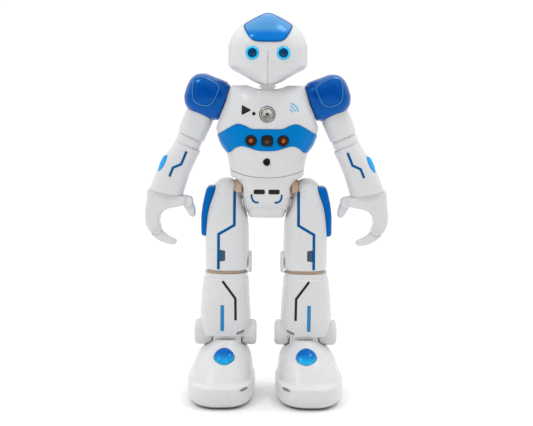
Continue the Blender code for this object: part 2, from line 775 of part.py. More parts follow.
def thigh_solid(side):
    middle = 26.9
    sections = []
    for degrees in (76, 48, 22):
        angle = math.radians(degrees)
        half_x, half_y = HIP_DOME.x * math.cos(angle), HIP_DOME.y * math.cos(angle)
        z = HIP_Z + HIP_DOME.z * math.sin(angle)
        sections.append((z, middle - half_x, middle + half_x, LEG_Y - half_y, LEG_Y + half_y, 2.0))
    sections += [
        (HIP_Z, 17.6, 36.3, LEG_Y - 10.6, LEG_Y + 10.6, 2.1),
        (133.0, 15.6, 38.3, LEG_Y - 14.0, LEG_Y + 14.0, 2.3),
        (126.0, 12.9, 39.5, LEG_Y - 15.4, LEG_Y + 15.4, 2.4),
        (114.0, 12.0, 41.1, LEG_Y - 16.0, LEG_Y + 16.4, 2.5),
        (THIGH_FOOT, 11.8, 42.1, LEG_Y - 15.6, LEG_Y + 16.0, 2.6),
    ]
    return stacked(sections, side, LIMB_ROUND)


def across_leg(side, z, near, far, radius, count=LIMB_ROUND):
    """A round about a leg joint's axis at height z, between two distances from the middle plane."""
    return rod((side * near, LEG_Y, z), (side * far, LEG_Y, z), radius, count)


def fin_solid(side, grow=0.0):
    sections = [
        (147.2 + grow, 33.6 - grow, 37.6 + grow, LEG_Y - 5.0 - grow, LEG_Y + 5.0 + grow, 3.0),
        (145.4, 33.8 - grow, 39.8 + grow, LEG_Y - 6.6 - grow, LEG_Y + 6.6 + grow, 3.0),
        (135.0, 35.6 - grow, 42.3 + grow, LEG_Y - 7.0 - grow, LEG_Y + 7.0 + grow, 3.0),
        (116.4, 38.6 - grow, 44.9 + grow, LEG_Y - 6.6 - grow, LEG_Y + 6.6 + grow, 3.0),
        (114.6 - grow, 38.6 - grow, 43.6 + grow, LEG_Y - 5.0 - grow, LEG_Y + 5.0 + grow, 3.0),
    ]
    return stacked(sections, side, SMALL_ROUND)


def make_thigh(side, body):
    name = side_name(side)
    solid = thigh_solid(side)
    shell = cut(duplicate(solid), cavity(solid, 70))
    bpy.data.objects.remove(solid, do_unlink=True)
    cut(shell, barrel(HIP_CLEARANCE))
    cut(shell, across_leg(side, HIP_Z, 0, 24.5, 4.0 + GAP, SMALL_ROUND))
    # behind the knee the shell is cut back, so that the shin can fold up to it
    slope = KNEE_FLEX + math.radians(4)
    drop = KNEE_Z - SHIN_TOP
    away = Vector((0, math.cos(slope), math.sin(slope)))
    normal = Vector((0, math.sin(slope), -math.cos(slope)))
    start = Vector((0, LEG_Y, KNEE_Z)) + normal * (drop - 1.2) - away * 6
    outline = [start, start + away * 66, start + away * 66 + normal * 60, start + normal * 60]
    cut(shell, loft([[Vector((x, p.y, p.z)) for p in outline] for x in (-60, 60)]))
    cut(shell, across_leg(side, KNEE_Z, 5, 48, 3.0 + GAP, SMALL_ROUND))
    cut(shell, across_leg(side, KNEE_Z, 5, 12.6, 7.7 + GAP))
    cut(shell, fin_solid(side, GAP))
    front, rear = split_at(shell, LEG_Y)
    piece(front, f"{name}_thigh_front", "white", body)
    piece(rear, f"{name}_thigh_rear", "white", body)
    piece(fin_solid(side), f"{name}_thigh_fin", "blue", body)
    pin = [(9.8, 6.6), (10.5, 7.7), (12.2, 7.7), (12.2, 3.0), (38.5, 3.0)]
    piece(turned((0, LEG_Y, KNEE_Z), (side, 0, 0), pin), f"{name}_knee_pin", "white", body)


def shin_solid(side):
    sections = [
        (SHIN_FOOT, 11.2, 45.0, LEG_Y - 15.6, LEG_Y + 15.6, 2.5),
        (56.0, 10.4, 45.8, LEG_Y - 16.4, LEG_Y + 17.2, 2.5),
        (70.0, 11.2, 45.0, LEG_Y - 16.4, LEG_Y + 18.0, 2.5),
        (86.4, 12.3, 42.9, LEG_Y - 16.0, LEG_Y + 16.0, 2.6),
        (SHIN_TOP, 13.0, 42.2, LEG_Y - 15.2, LEG_Y + 15.2, 2.6),
    ]
    return stacked(sections, side, LIMB_ROUND)


def make_shin(side, body):
    name = side_name(side)
    solid = shin_solid(side)
    shell = cut(duplicate(solid), cavity(solid, 30))
    bpy.data.objects.remove(solid, do_unlink=True)
    for near, far in (OUTER_LOBE, INNER_LOBE):
        join(shell, across_leg(side, ANKLE_Z, near, far, LOBE_RADIUS))
    cut(shell, across_leg(side, ANKLE_Z, INNER_LOBE[1], OUTER_LOBE[0], 12.0))
    # the knee tongue stands on the shin's top and turns about the knee pin inside the thigh
    join(shell, block_across(side, 20, 33, LEG_Y - 5.5, LEG_Y + 5.5, SHIN_TOP - 3, KNEE_Z))
    join(shell, across_leg(side, KNEE_Z, 20, 33, 6.6))
    cut(shell, across_leg(side, KNEE_Z, 12, 40, 3.0 + GAP, SMALL_ROUND))
    cut(shell, across_leg(side, ANKLE_Z, 4, 47, 2.4 + GAP, SMALL_ROUND))
    front, rear = split_at(shell, LEG_Y)
    piece(front, f"{name}_shin_front", "white", body)
    piece(rear, f"{name}_shin_rear", "white", body)
    pin = rod((side * 7.6, LEG_Y, ANKLE_Z), (side * 46, LEG_Y, ANKLE_Z), 2.4)
    piece(pin, f"{name}_ankle_pin", "steel", body)


def block_across(side, near, far, front, rear, low, high):
    """A block between two distances from the middle plane, on one side of it."""
    x0, x1 = sorted((side * near, side * far))
    return block((x0, front, low), (x1, rear, high))


def foot_solid(side):
    sections = [
        (SOLE_TOP + GAP, 8.2, 52.6, -38.4, 38.6, 2.7),
        (9.5, 7.1, 53.9, -40.0, 40.0, 2.7),
        (14.0, 7.1, 53.8, -39.4, 39.8, 2.7),
        (16.4, 7.6, 53.0, -37.0, 39.2, 2.7),
        (21.0, 8.4, 51.2, -32.6, 37.6, 2.7),
        (28.0, 9.9, 48.0, -25.8, 33.4, 2.6),
        (35.2, 13.6, 42.4, -17.6, 26.4, 2.5),
        (38.6, 16.2, 38.6, -14.0, 22.0, 2.5),
        (41.8, 17.0, 36.4, -10.4, 17.6, 2.5),
    ]
    return stacked(sections, side, LIMB_ROUND)


def gem_ring(side, depth, wide, long):
    """A ring of the foot gem, depth above the slope of the instep."""
    slope = Vector((0, 0.744, 0.668))
    normal = Vector((0, -0.668, 0.744))
    centre = Vector((side * 28.0, -20.6, 33.2)) + normal * depth
    return [centre + Vector((a, 0, 0)) + slope * b for a, b in oval(wide, long, 2.0, 18)]


def make_foot(side, body):
    name = side_name(side)
    solid = foot_solid(side)
    shell = cut(duplicate(solid), cavity(solid, -5))
    bpy.data.objects.remove(solid, do_unlink=True)
    instep_ends = (INNER_LOBE[1] + 2 * GAP, OUTER_LOBE[0] - 2 * GAP)
    join(shell, across_leg(side, ANKLE_Z, *instep_ends, INSTEP_RADIUS))
    for near, far in (OUTER_LOBE, INNER_LOBE):
        cut(shell, across_leg(side, ANKLE_Z, near - GAP, far + 12, LOBE_RADIUS + 2 * GAP))
    cut(shell, across_leg(side, ANKLE_Z, INNER_LOBE[0], OUTER_LOBE[1], 2.4 + GAP, SMALL_ROUND))
    gem = loft([gem_ring(side, *row) for row in ((-2.4, 7.5, 8.0), (0.6, 7.5, 8.0), (1.6, 5.4, 5.8))])
    cut(shell, offset(gem, GAP))
    piece(gem, f"{name}_foot_gem", "blue", body)
    piece(shell, f"{name}_foot_shell", "white", body)
    make_sole(side, body)


def make_sole(side, body):
    """The grey sole, with wheel slots, bearing posts and the rubber skid under the toes."""
    name = side_name(side)
    rows = (
        (SOLE_FOOT, 10.4, 50.4, -36.2, 36.4, 2.7),
        (2.6, 8.6, 52.2, -38.0, 38.2, 2.7),
        (SOLE_TOP, 8.4, 52.4, -38.2, 38.4, 2.7),
    )
    sole = stacked(rows, side, LIMB_ROUND)
    for x in WHEEL_X:
        near, far = x - WHEEL_WIDTH / 2 - 1, x + WHEEL_WIDTH / 2 + 1
        cut(sole, block_across(side, near, far, WHEEL_AXLE.y - 7.6, WHEEL_AXLE.y + 7.6, -2, 12))
    _, axle_y, axle_z = WHEEL_AXLE
    for x in (23.5, 35.5):
        post = block_across(side, x - 1.2, x + 1.2, axle_y - 4, axle_y + 4, SOLE_TOP - 2, 11)
        join(sole, post)
    cut(sole, rod((side * 12, axle_y, axle_z), (side * 47, axle_y, axle_z), AXLE_RADIUS + GAP))
    skid = [(0.0, 11.0, 5.5), (0.5, 12.0, 6.5), (3.4, 12.0, 6.5)]
    rings = []
    for z, half_x, half_y in skid:
        middle = side * SKID.x
        rings.append([(middle + a, SKID.y + b, z) for a, b in oval(half_x, half_y, 5.0, 12)])
    pad = loft(rings)
    cut(sole, offset(pad, GAP))
    piece(pad, f"{name}_skid_pad", "rubber", body)
    piece(sole, f"{name}_sole_plate", "grey", body)


def make_wheels(side, body):
    """Two rubber-tyred wheels on one axle, lowest at the floor."""
    axle = mirrored(WHEEL_AXLE, side)
    spin = pivot(f"{side_name(side)}_wheel_pivot", axle, body)
    half = WHEEL_WIDTH / 2
    inner, outer = WHEEL_X
    radius = WHEEL_AXLE.z
    profile = [
        (inner - half, radius),
        (inner + half, radius),
        (inner + half, AXLE_RADIUS),
        (outer - half, AXLE_RADIUS),
        (outer - half, radius),
        (outer + half, radius),
    ]
    wheels = turned((0, axle.y, axle.z), (side, 0, 0), profile, ROUND)
    piece(wheels, f"{side_name(side)}_drive_wheels", "rubber", spin)


def make_leg(side, torso):
    name = side_name(side)
    x = side * 27.0
    hip = pivot(f"{name}_hip_pivot", (x, LEG_Y, HIP_Z), torso)
    knee = pivot(f"{name}_knee_pivot", (x, LEG_Y, KNEE_Z), hip)
    ankle = pivot(f"{name}_ankle_pivot", (x, LEG_Y, ANKLE_Z), knee)
    make_thigh(side, hip)
    make_shin(side, knee)
    make_foot(side, ankle)
    make_wheels(side, ankle)


def main():
    clear_scene()
    torso = make_torso()
    make_head(torso)
    for side in (-1, 1):
        make_arm(side, torso)
        make_leg(side, torso)


main()
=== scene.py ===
import json
import math

import bmesh
import bpy
import numpy as np
from mathutils import Matrix, Vector


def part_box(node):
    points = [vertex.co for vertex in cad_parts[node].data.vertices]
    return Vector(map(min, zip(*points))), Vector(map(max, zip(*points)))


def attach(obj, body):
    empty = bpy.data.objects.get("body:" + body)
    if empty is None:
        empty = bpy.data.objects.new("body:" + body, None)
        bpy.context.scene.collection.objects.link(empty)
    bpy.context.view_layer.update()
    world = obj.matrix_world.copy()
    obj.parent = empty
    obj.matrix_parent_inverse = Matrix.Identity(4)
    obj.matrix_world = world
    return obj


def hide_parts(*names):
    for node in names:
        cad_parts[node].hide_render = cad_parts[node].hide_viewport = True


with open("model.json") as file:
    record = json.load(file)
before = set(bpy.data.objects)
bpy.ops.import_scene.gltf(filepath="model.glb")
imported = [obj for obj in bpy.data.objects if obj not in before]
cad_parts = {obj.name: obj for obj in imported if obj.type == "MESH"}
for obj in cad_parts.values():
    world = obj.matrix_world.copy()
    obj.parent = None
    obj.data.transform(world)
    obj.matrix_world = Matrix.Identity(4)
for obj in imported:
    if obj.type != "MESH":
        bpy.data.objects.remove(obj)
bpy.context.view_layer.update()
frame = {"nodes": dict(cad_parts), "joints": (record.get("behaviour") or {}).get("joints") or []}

# The robot faces -Y and its left hand is on the +X side. Sizes are in millimetres, in the packed
# model's frame. A piece that comes in pairs is made on the left side and mirrored for the right.

MM = 0.001
GAP = 0.35  # between mouldings that meet
WALL = 2.3  # of the head, body and leg shells
REACH = 120.0  # longer than anything a cutter has to pass through
FINE = 96  # points round a large ring
SMALL = 48  # points round a small one
SEAM_Y = 3.0  # parting plane of head and body
LINE_GAP = 0.12  # round a painted line or a lens
SHARP = 32  # degrees between faces from which an edge shows

ACROSS = Vector((1, 0, 0))
REARWARD = Vector((0, 1, 0))
UP = Vector((0, 0, 1))

TENT_FRONT = 0.0  # brightness of the studio in front of the robot, and what is added elsewhere
TENT_SIDES = 0.80
TENT_BACK = 0.55
TENT_TOP = 1.5
BACKDROP = 1.05

LENS, SENSOR_WIDTH = 74.2, 36.0  # of the camera
CAMERA_PLACE = (0.0, -0.75, 0.225)  # in metres
CAMERA_DOWN = 7.29  # degrees below level
CAMERA_ROLL = 0.5
FLOOR_HALF = 40.0  # in metres

AHEAD = -40  # y from which a cutter meets the body or an arm; the legs' start further out
LEG_AHEAD = -60
BEHIND = 40
EYE_Y = -26.5  # planes that the fittings on the front are turned from
SENSOR_Y = -21
BUTTON_Y = -22
EYE_RADIUS = 4.3
PAD_FACE = 12.2  # from the shoulder's centre to the pad's inner face
KNUCKLE = 3.5  # radii, the same as the CAD's down to the lobes
KNEE_PIN = 3.0
KNEE_BOSS = 7.7
HIP_STUB = 4.0
ANKLE_PIN = 2.4
ANKLE_LOBE = 8.9
ANKLE_DRUM = 12.2  # fuller than the CAD's
INNER_LOBE = (6.2, 16.2)  # the ankle lobes' places across the left leg
OUTER_LOBE = (36.9, 49.6)
WHEELS_X = (18.5, 40.5)
HIP_SWEEP = (-20, -10, 0, 10, 20)  # degrees at which a piece is cut clear of what swings past it
ANKLE_SWEEP = (-12.5, -6, 0, 6, 12.5)
FINGERTIP_SWEEP = (8, 17, 26)

joints = {joint["name"]: joint for joint in frame["joints"]}


def joint_place(name):
    return Vector(joints[name]["pos_m"]) / MM


def middle(node):
    low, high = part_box(node)
    return (low + high) / 2 / MM


NECK = joint_place("head_turn")
SHOULDER = joint_place("left_shoulder_swing")
ELBOW = joint_place("left_elbow_bend")
WRIST = joint_place("left_wrist_turn")
FINGER_PIVOT = joint_place("left_fingertip_bend")
THUMB_PIVOT = joint_place("left_thumb_bend")
HIP = joint_place("left_hip_swing")
KNEE = joint_place("left_knee_bend")
ANKLE = joint_place("left_ankle_tilt")
WHEELS = joint_place("left_wheel_roll")
SHOULDER_OUT = -Vector(joints["left_shoulder_swing"]["axis"])
ARM_OUT = -Vector(joints["left_elbow_bend"]["axis"])
HAND_DOWN = Vector(joints["left_wrist_turn"]["axis"])
LEG_Y = HIP.y


def square_to(out):
    """The downward direction square to a limb's outward one."""
    return Vector((out.z, 0, -out.x))


SHOULDER_DOWN = square_to(SHOULDER_OUT)
ARM_DOWN = square_to(ARM_OUT)


# ---- Meshes ------------------------------------------------------------------------------


def as_object(vertices, faces):
    mesh = bpy.data.meshes.new("solid")
    mesh.from_pydata([tuple(v) for v in np.asarray(vertices, float) * MM], [], faces)
    mesh.update()
    obj = bpy.data.objects.new("solid", mesh)
    bpy.context.scene.collection.objects.link(obj)
    return obj


def loft(rings):
    """A closed solid through rings of equally many points, with a flat cap at each end."""
    rings = np.array(rings, float)
    layers, count = len(rings), len(rings[0])
    faces = []
    for layer in range(layers - 1):
        base = layer * count
        for i in range(count):
            j = (i + 1) % count
            faces.append((base + i, base + j, base + count + j, base + count + i))
    faces.append(tuple(range(count))[::-1])
    faces.append(tuple((layers - 1) * count + i for i in range(count)))
    vertices = rings.reshape(-1, 3)
    if signed_volume(vertices, faces) < 0:
        faces = [face[::-1] for face in faces]
    return as_object(vertices, faces)


def signed_volume(vertices, faces):
    total = 0.0
    for face in faces:
        a = vertices[face[0]]
        for k in range(1, len(face) - 1):
            total += np.dot(a, np.cross(vertices[face[k]], vertices[face[k + 1]]))
    return total


def oval(half_a, half_b, power=2.0, count=FINE):
    """Points round a superellipse, symmetric about both its axes."""
    angle = 2 * math.pi * (np.arange(count) + 0.5) / count
    cos, sin = np.cos(angle), np.sin(angle)
    a = np.sign(cos) * np.abs(cos) ** (2 / power) * half_a
    b = np.sign(sin) * np.abs(sin) ** (2 / power) * half_b
    return a, b


def flowing(rows, steps):
    """More rows, on a smooth curve through these that never overshoots them."""
    table = np.array(rows, float)
    lengths = np.linalg.norm(np.diff(table[:, :-1], axis=0), axis=1)
    knots = np.concatenate(([0.0], np.cumsum(lengths)))
    slopes = np.diff(table, axis=0) / lengths[:, None]
    before, after = slopes[:-1], slopes[1:]
    same = before * after > 0
    safe = np.where(same, before + after, 1.0)
    tangents = np.vstack((slopes[:1], np.where(same, 2 * before * after / safe, 0.0), slopes[-1:]))
    places = np.linspace(0, knots[-1], steps)
    which = np.clip(np.searchsorted(knots, places, side="right") - 1, 0, len(lengths) - 1)
    span = lengths[which][:, None]
    t = (places - knots[which])[:, None] / span
    start = (1 + 2 * t) * (1 - t) ** 2 * table[which] + t * (1 - t) ** 2 * span * tangents[which]
    end = t**2 * (3 - 2 * t) * table[which + 1] + t**2 * (t - 1) * span * tangents[which + 1]
    return start + end


def eased_ends(rows, low, high, inward):
    """Rows whose first and last edges are rounded off; inward is each column's way in."""
    along = rows[:, 0]
    quarter = np.linspace(0, math.pi / 2, 6)
    places, insets = [], []
    if low:
        places += list(along[0] + low * (1 - np.cos(quarter)))
        insets += list(low * (1 - np.sin(quarter)))
    inner = along[(along > along[0] + low + 1e-6) & (along < along[-1] - high - 1e-6)]
    if not low:
        inner = np.concatenate((along[:1], inner))
    if not high:
        inner = np.concatenate((inner, along[-1:]))
    places += list(inner)
    insets += [0.0] * len(inner)
    if high:
        places += list(along[-1] - high * (1 - np.cos(quarter[::-1])))
        insets += list(high * (1 - np.sin(quarter[::-1])))
    columns = [np.interp(places, along, rows[:, k]) for k in range(rows.shape[1])]
    table = np.column_stack(columns)
    table[:, 0] = places
    return table + np.array(insets)[:, None] * np.array(inward)


def level_stack(rows, steps=48, low=0.0, high=0.0, count=FINE, grow=0.0):
    """A solid through level rows (z, x low, x high, front, rear, power), its ends eased."""
    fine = eased_ends(flowing(rows, steps), low, high, (0, 1, -1, 1, -1, 0))
    rings = []
    for z, x0, x1, y0, y1, power in fine:
        a, b = oval((x1 - x0) / 2 + grow, (y1 - y0) / 2 + grow, power, count)
        rings.append(np.column_stack(((x0 + x1) / 2 + a, (y0 + y1) / 2 + b, np.full(count, z))))
    return loft(rings)


def paired(rows):
    """Rows (z, half x, front, rear, power) as level rows either side of the middle plane."""
    return [(z, -half, half, front, rear, power) for z, half, front, rear, power in rows]


def tilted(centre, a, a_way, b, b_way):
    """A ring of points about centre, given by how far each lies along two directions."""
    return np.array(centre) + np.outer(a, np.array(a_way)) + np.outer(b, np.array(b_way))


def limb_stack(origin, out, down, rows, steps=36, low=0.0, high=0.0, count=FINE, grow=0.0):
    """A solid along a limb, through rows (q, low, high, half y, power) square to it."""
    fine = eased_ends(flowing(rows, steps), low, high, (0, 1, -1, -1, 0))
    rings = []
    for q, start, end, half_y, power in fine:
        centre = origin + down * q + out * ((start + end) / 2)
        a, b = oval((end - start) / 2 + grow, half_y + grow, power, count)
        rings.append(tilted(centre, a, out, b, REARWARD))
    return loft(rings)


def turned(origin, axis, profile, count=SMALL, power=2.0):
    """A round solid about axis through origin, from (distance along the axis, radius) pairs."""
    axis = Vector(axis).normalized()
    turn = np.array(axis.to_track_quat("Z", "Y").to_matrix())
    rings = []
    for along, radius in profile:
        a, b = oval(radius, radius, power, count)
        flat = np.column_stack((a, b, np.full(count, float(along))))
        rings.append(np.array(origin) + flat @ turn.T)
    return loft(rings)


def rod(start, end, radius, count=SMALL):
    start, end = Vector(start), Vector(end)
    return turned(start, end - start, [(0, radius), ((end - start).length, radius)], count)


def along_y(place, before, after, radius, count=SMALL):
    return rod(place - REARWARD * before, place + REARWARD * after, radius, count)


def across(x0, x1, y, z, radius, count=SMALL):
    return rod((x0, y, z), (x1, y, z), radius, count)


def slab(outline, near, far):
    """An outline of (x, z) points, extruded from y = near to y = far."""
    return loft([[(x, y, z) for x, z in outline] for y in (near, far)])


def block(low, high):
    x0, y0, z0 = low
    x1, y1, z1 = high
    return slab([(x0, z0), (x1, z0), (x1, z1), (x0, z1)], y0, y1)


def outward(outline):
    """Unit directions out of a closed outline at its points."""
    points = np.array(outline, float)
    ahead = np.roll(points, -1, axis=0)
    behind = np.roll(points, 1, axis=0)
    area = np.sum(points[:, 0] * ahead[:, 1] - ahead[:, 0] * points[:, 1])
    along = ahead - behind
    normal = np.column_stack((along[:, 1], -along[:, 0])) * math.copysign(1, area)
    return normal / np.maximum(np.linalg.norm(normal, axis=1), 1e-9)[:, None]


def grown(outline, distance):
    return np.array(outline, float) + outward(outline) * distance


def rounded(outline, radius, steps=5):
    """An outline whose corners are arcs, each reaching at most radius along its sides."""
    points = [Vector(p) for p in outline]
    result = []
    for i, corner in enumerate(points):
        before, after = points[i - 1] - corner, points[(i + 1) % len(points)] - corner
        start = corner + before.normalized() * min(radius, before.length * 0.45)
        end = corner + after.normalized() * min(radius, after.length * 0.45)
        for k in range(steps + 1):
            t = k / steps
            point = start * (1 - t) ** 2 + corner * 2 * t * (1 - t) + end * t**2
            result.append((point.x, point.y))
    return result


def flowing_loop(outline, steps=6):
    """A closed smooth curve through these points."""
    points = np.array(outline, float)
    count = len(points)
    result = []
    for i in range(count):
        p0, p1, p2, p3 = (points[(i + k) % count] for k in (-1, 0, 1, 2))
        for k in range(steps):
            t = k / steps
            result.append(
                0.5 * (2 * p1 + (p2 - p0) * t + (2 * p0 - 5 * p1 + 4 * p2 - p3) * t**2
                       + (3 * p1 - p0 - 3 * p2 + p3) * t**3)
            )
    return result


def ribbon(points, width):
    """The outline of a line of this width through points, its ends square and corners mitred."""
    points = [Vector(p) for p in points]
    left, right = [], []
    for i, point in enumerate(points):
        before = (point - points[i - 1]).normalized() if i else None
        after = (points[i + 1] - point).normalized() if i + 1 < len(points) else None
        along = ((before or after) + (after or before)).normalized()
        side = Vector((-along.y, along.x))
        lean = max(0.5, along.dot(after or before))
        left.append(point + side * (width / 2 / lean))
        right.append(point - side * (width / 2 / lean))
    return [(p.x, p.y) for p in left + right[::-1]]


def inset_loop(outline, inset):
    """The outline moved inwards, with the points that would cross over closed up."""
    outline = np.array(outline, float)
    moved = grown(outline, -inset)
    reach = np.linalg.norm(moved[:, None, :] - outline[None, :, :], axis=2).min(axis=1)
    good = np.flatnonzero(reach > inset * 0.96)
    if inset < 1e-6 or len(good) < 3:
        return outline
    count = len(outline)
    known = np.concatenate((good - count, good, good + count))
    columns = [np.interp(np.arange(count), known, np.tile(moved[good, k], 3)) for k in (0, 1)]
    return np.column_stack(columns)


def pillow_slab(outline, near, far, edge, depth):
    """An outline between two values of y, its edges rounded by edge inwards and depth along y."""
    quarter = np.linspace(0, math.pi / 2, 6)
    layers = [(edge * (1 - math.sin(q)), near + depth * (1 - math.cos(q))) for q in quarter]
    layers += [(edge * (1 - math.sin(q)), far - depth * (1 - math.cos(q))) for q in quarter[::-1]]
    rings = []
    for inset, y in layers:
        rings.append([(x, y, z) for x, z in inset_loop(outline, inset)])
    return loft(rings)


def boolean(target, tool, operation):
    """Cuts, joins or crosses target with tool, which is used up."""
    for solver in ("MANIFOLD", "EXACT"):
        modifier = target.modifiers.new("boolean", "BOOLEAN")
        modifier.operation = operation
        modifier.solver = solver
        modifier.object = tool
        graph = bpy.context.evaluated_depsgraph_get()
        mesh = bpy.data.meshes.new_from_object(target.evaluated_get(graph))
        target.modifiers.clear()
        changed = len(mesh.vertices) != len(target.data.vertices)
        if len(mesh.polygons) and (operation != "DIFFERENCE" or changed):
            break
    old = target.data
    target.data = mesh
    bpy.data.meshes.remove(old)
    bpy.data.objects.remove(tool, do_unlink=True)
    return target


def main_part(obj):
    """Drops loose slivers that a cut has left beside the largest part."""
    mesh = bmesh.new()
    mesh.from_mesh(obj.data)
    left, parts = set(mesh.verts), []
    while left:
        part, front = set(), [left.pop()]
        while front:
            vertex = front.pop()
            part.add(vertex)
            near = {edge.other_vert(vertex) for edge in vertex.link_edges} & left
            left -= near
            front += near
        parts.append(part)
    parts.sort(key=len)
    loose = [vertex for part in parts[:-1] for vertex in part]
    bmesh.ops.delete(mesh, geom=loose, context="VERTS")
    mesh.to_mesh(obj.data)
    mesh.free()
    return obj


def cut(target, *tools):
    for tool in tools:
        boolean(target, tool, "DIFFERENCE")
    return target


def join(target, *tools):
    for tool in tools:
        boolean(target, tool, "UNION")
    return target


def cross(target, tool):
    return boolean(target, tool, "INTERSECT")


def duplicate(obj):
    copy = bpy.data.objects.new("solid", obj.data.copy())
    bpy.context.scene.collection.objects.link(copy)
    return copy


def discard(*objects):
    for obj in objects:
        bpy.data.objects.remove(obj, do_unlink=True)


def swung(obj, pivot, axis, degrees):
    """The same mesh turned about an axis through the pivot, to find what a joint sweeps through."""
    there = Matrix.Translation(Vector(pivot) * MM)
    obj.data.transform(there @ Matrix.Rotation(math.radians(degrees), 4, axis) @ there.inverted())
    return obj


def offset(obj, distance):
    """A copy whose surface lies this far outside obj's, or inside it where negative."""
    copy = duplicate(obj)
    count = len(copy.data.vertices)
    places, normals = np.zeros(count * 3), np.zeros(count * 3)
    copy.data.vertices.foreach_get("co", places)
    copy.data.vertex_normals.foreach_get("vector", normals)
    copy.data.vertices.foreach_set("co", places + normals * distance * MM)
    return copy


def half_space(y, direction):
    """Everything behind the plane y where direction is +1, or in front of it where it is -1."""
    low, high = sorted((y, y + direction * REACH))
    return block((-REACH, low, -REACH), (REACH, high, 3 * REACH))


def split_at(obj, y):
    """The front and the rear piece of obj, with half a gap on each side of the plane."""
    rear = duplicate(obj)
    return cut(obj, half_space(y - GAP / 2, 1)), cut(rear, half_space(y + GAP / 2, -1))


def inlaid(solid, outline, near, far, rise=0.5, depth=1.2, gap=0.15):
    """(panel, pocket cutter) for a coloured panel let into the face of a solid."""
    panel = cross(slab(outline, near, far), offset(solid, rise))
    cut(panel, offset(solid, gap - depth))
    pocket = cut(slab(grown(outline, gap), near, far), offset(solid, -depth))
    return panel, pocket


def inlay(shell, solid, outline, near, far, rise=0.5, depth=1.2, gap=0.15):
    """A panel let into a shell whose outside is the solid's; the shell gets its pocket."""
    panel, pocket = inlaid(solid, outline, near, far, rise, depth, gap)
    cut(shell, pocket)
    return panel


# ---- Finishes ----------------------------------------------------------------------------


class Nodes:
    """A node tree being put together."""

    def __init__(self, tree):
        self.tree = tree

    def node(self, kind, settings=(), **inputs):
        node = self.tree.nodes.new("ShaderNode" + kind)
        for key, value in dict(settings).items():
            setattr(node, key, value)
        for key, value in inputs.items():
            self.feed(node.inputs[key.replace("_", " ")], value)
        return node

    def feed(self, socket, value):
        if isinstance(value, bpy.types.NodeSocket):
            self.tree.links.new(value, socket)
        else:
            socket.default_value = value

    def math(self, operation, *values, kind="Math"):
        node = self.node(kind, {"operation": operation})
        for socket, value in zip(node.inputs, values):
            self.feed(socket, value)
        return node.outputs["Value"]


class Surface(Nodes):
    """A node-based finish being put together."""

    def __init__(self, name):
        self.material = bpy.data.materials.new(name)
        self.material.use_nodes = True
        super().__init__(self.material.node_tree)
        self.shader = self.tree.nodes["Principled BSDF"]
        self.place = self.node("TexCoord").outputs["Object"]

    def noise(self, scale, detail=3.0, stretch=None, distortion=0.0):
        place = self.place
        if stretch:
            place = self.node("Mapping", Vector=place, Scale=stretch).outputs[0]
        node = self.node("TexNoise", Vector=place, Scale=scale, Detail=detail, Distortion=distortion)
        return node.outputs["Fac"]

    def spread(self, value, low, high, to_low, to_high):
        ends = {"From_Min": low, "From_Max": high, "To_Min": to_low, "To_Max": to_high}
        return self.node("MapRange", Value=value, **ends).outputs[0]

    def height(self, low, high):
        """0 below the low height in millimetres and 1 above the high one."""
        z = self.node("SeparateXYZ", Vector=self.place).outputs[2]
        return self.spread(z, low * MM, high * MM, 0.0, 1.0)

    def mix(self, factor, a, b):
        """The colour a where factor is 0 and b where it is 1."""
        node = self.node("Mix", {"data_type": "RGBA"})
        for number, value in ((0, factor), (6, a), (7, b)):
            self.feed(node.inputs[number], value)
        return node.outputs[2]

    def edges(self, radius):
        """1 on sharp outer edges and 0 on flats."""
        sharp = self.node("NewGeometry").outputs["Normal"]
        agree = self.math("DOT_PRODUCT", self.softened(radius), sharp, kind="VectorMath")
        return self.spread(agree, 0.995, 0.86, 0.0, 1.0)

    def softened(self, radius):
        """The normal, rounded over edges."""
        return self.node("Bevel", {"samples": 4}, Radius=radius * MM).outputs[0]

    def painted_light_by_height(self, tone, painted_light_fade):
        """The tone, running into another colour between two heights; used to paint light and shade by height.
        """
        low, high, upper = painted_light_fade
        return self.mix(self.height(low, high), tone, (*upper, 1.0))

    def finish(self, tone, roughness, soft_edge, strength, grain, marks):
        """Colour, roughness and bump on the shader."""
        self.feed(self.shader.inputs["Base Color"], tone)
        self.feed(self.shader.inputs["Roughness"], roughness)
        relief = {"Strength": strength, "Distance": grain * MM, "Height": marks}
        bump = self.node("Bump", Normal=self.softened(soft_edge), **relief)
        self.feed(self.shader.inputs["Normal"], bump.outputs[0])
        return self.material

    def shine(self, tone, tint, glow):
        """Tinted highlights, so that a blue keeps free of red, and a faint light of its own."""
        self.shader.inputs["Specular Tint"].default_value = (tint, 0.5 + 0.5 * tint, 1.0, 1.0)
        if glow:
            self.feed(self.shader.inputs["Emission Color"], tone)
            self.shader.inputs["Emission Strength"].default_value = glow


def shade(colour, factor):
    return tuple(min(1.0, channel * factor) for channel in colour) + (1.0,)


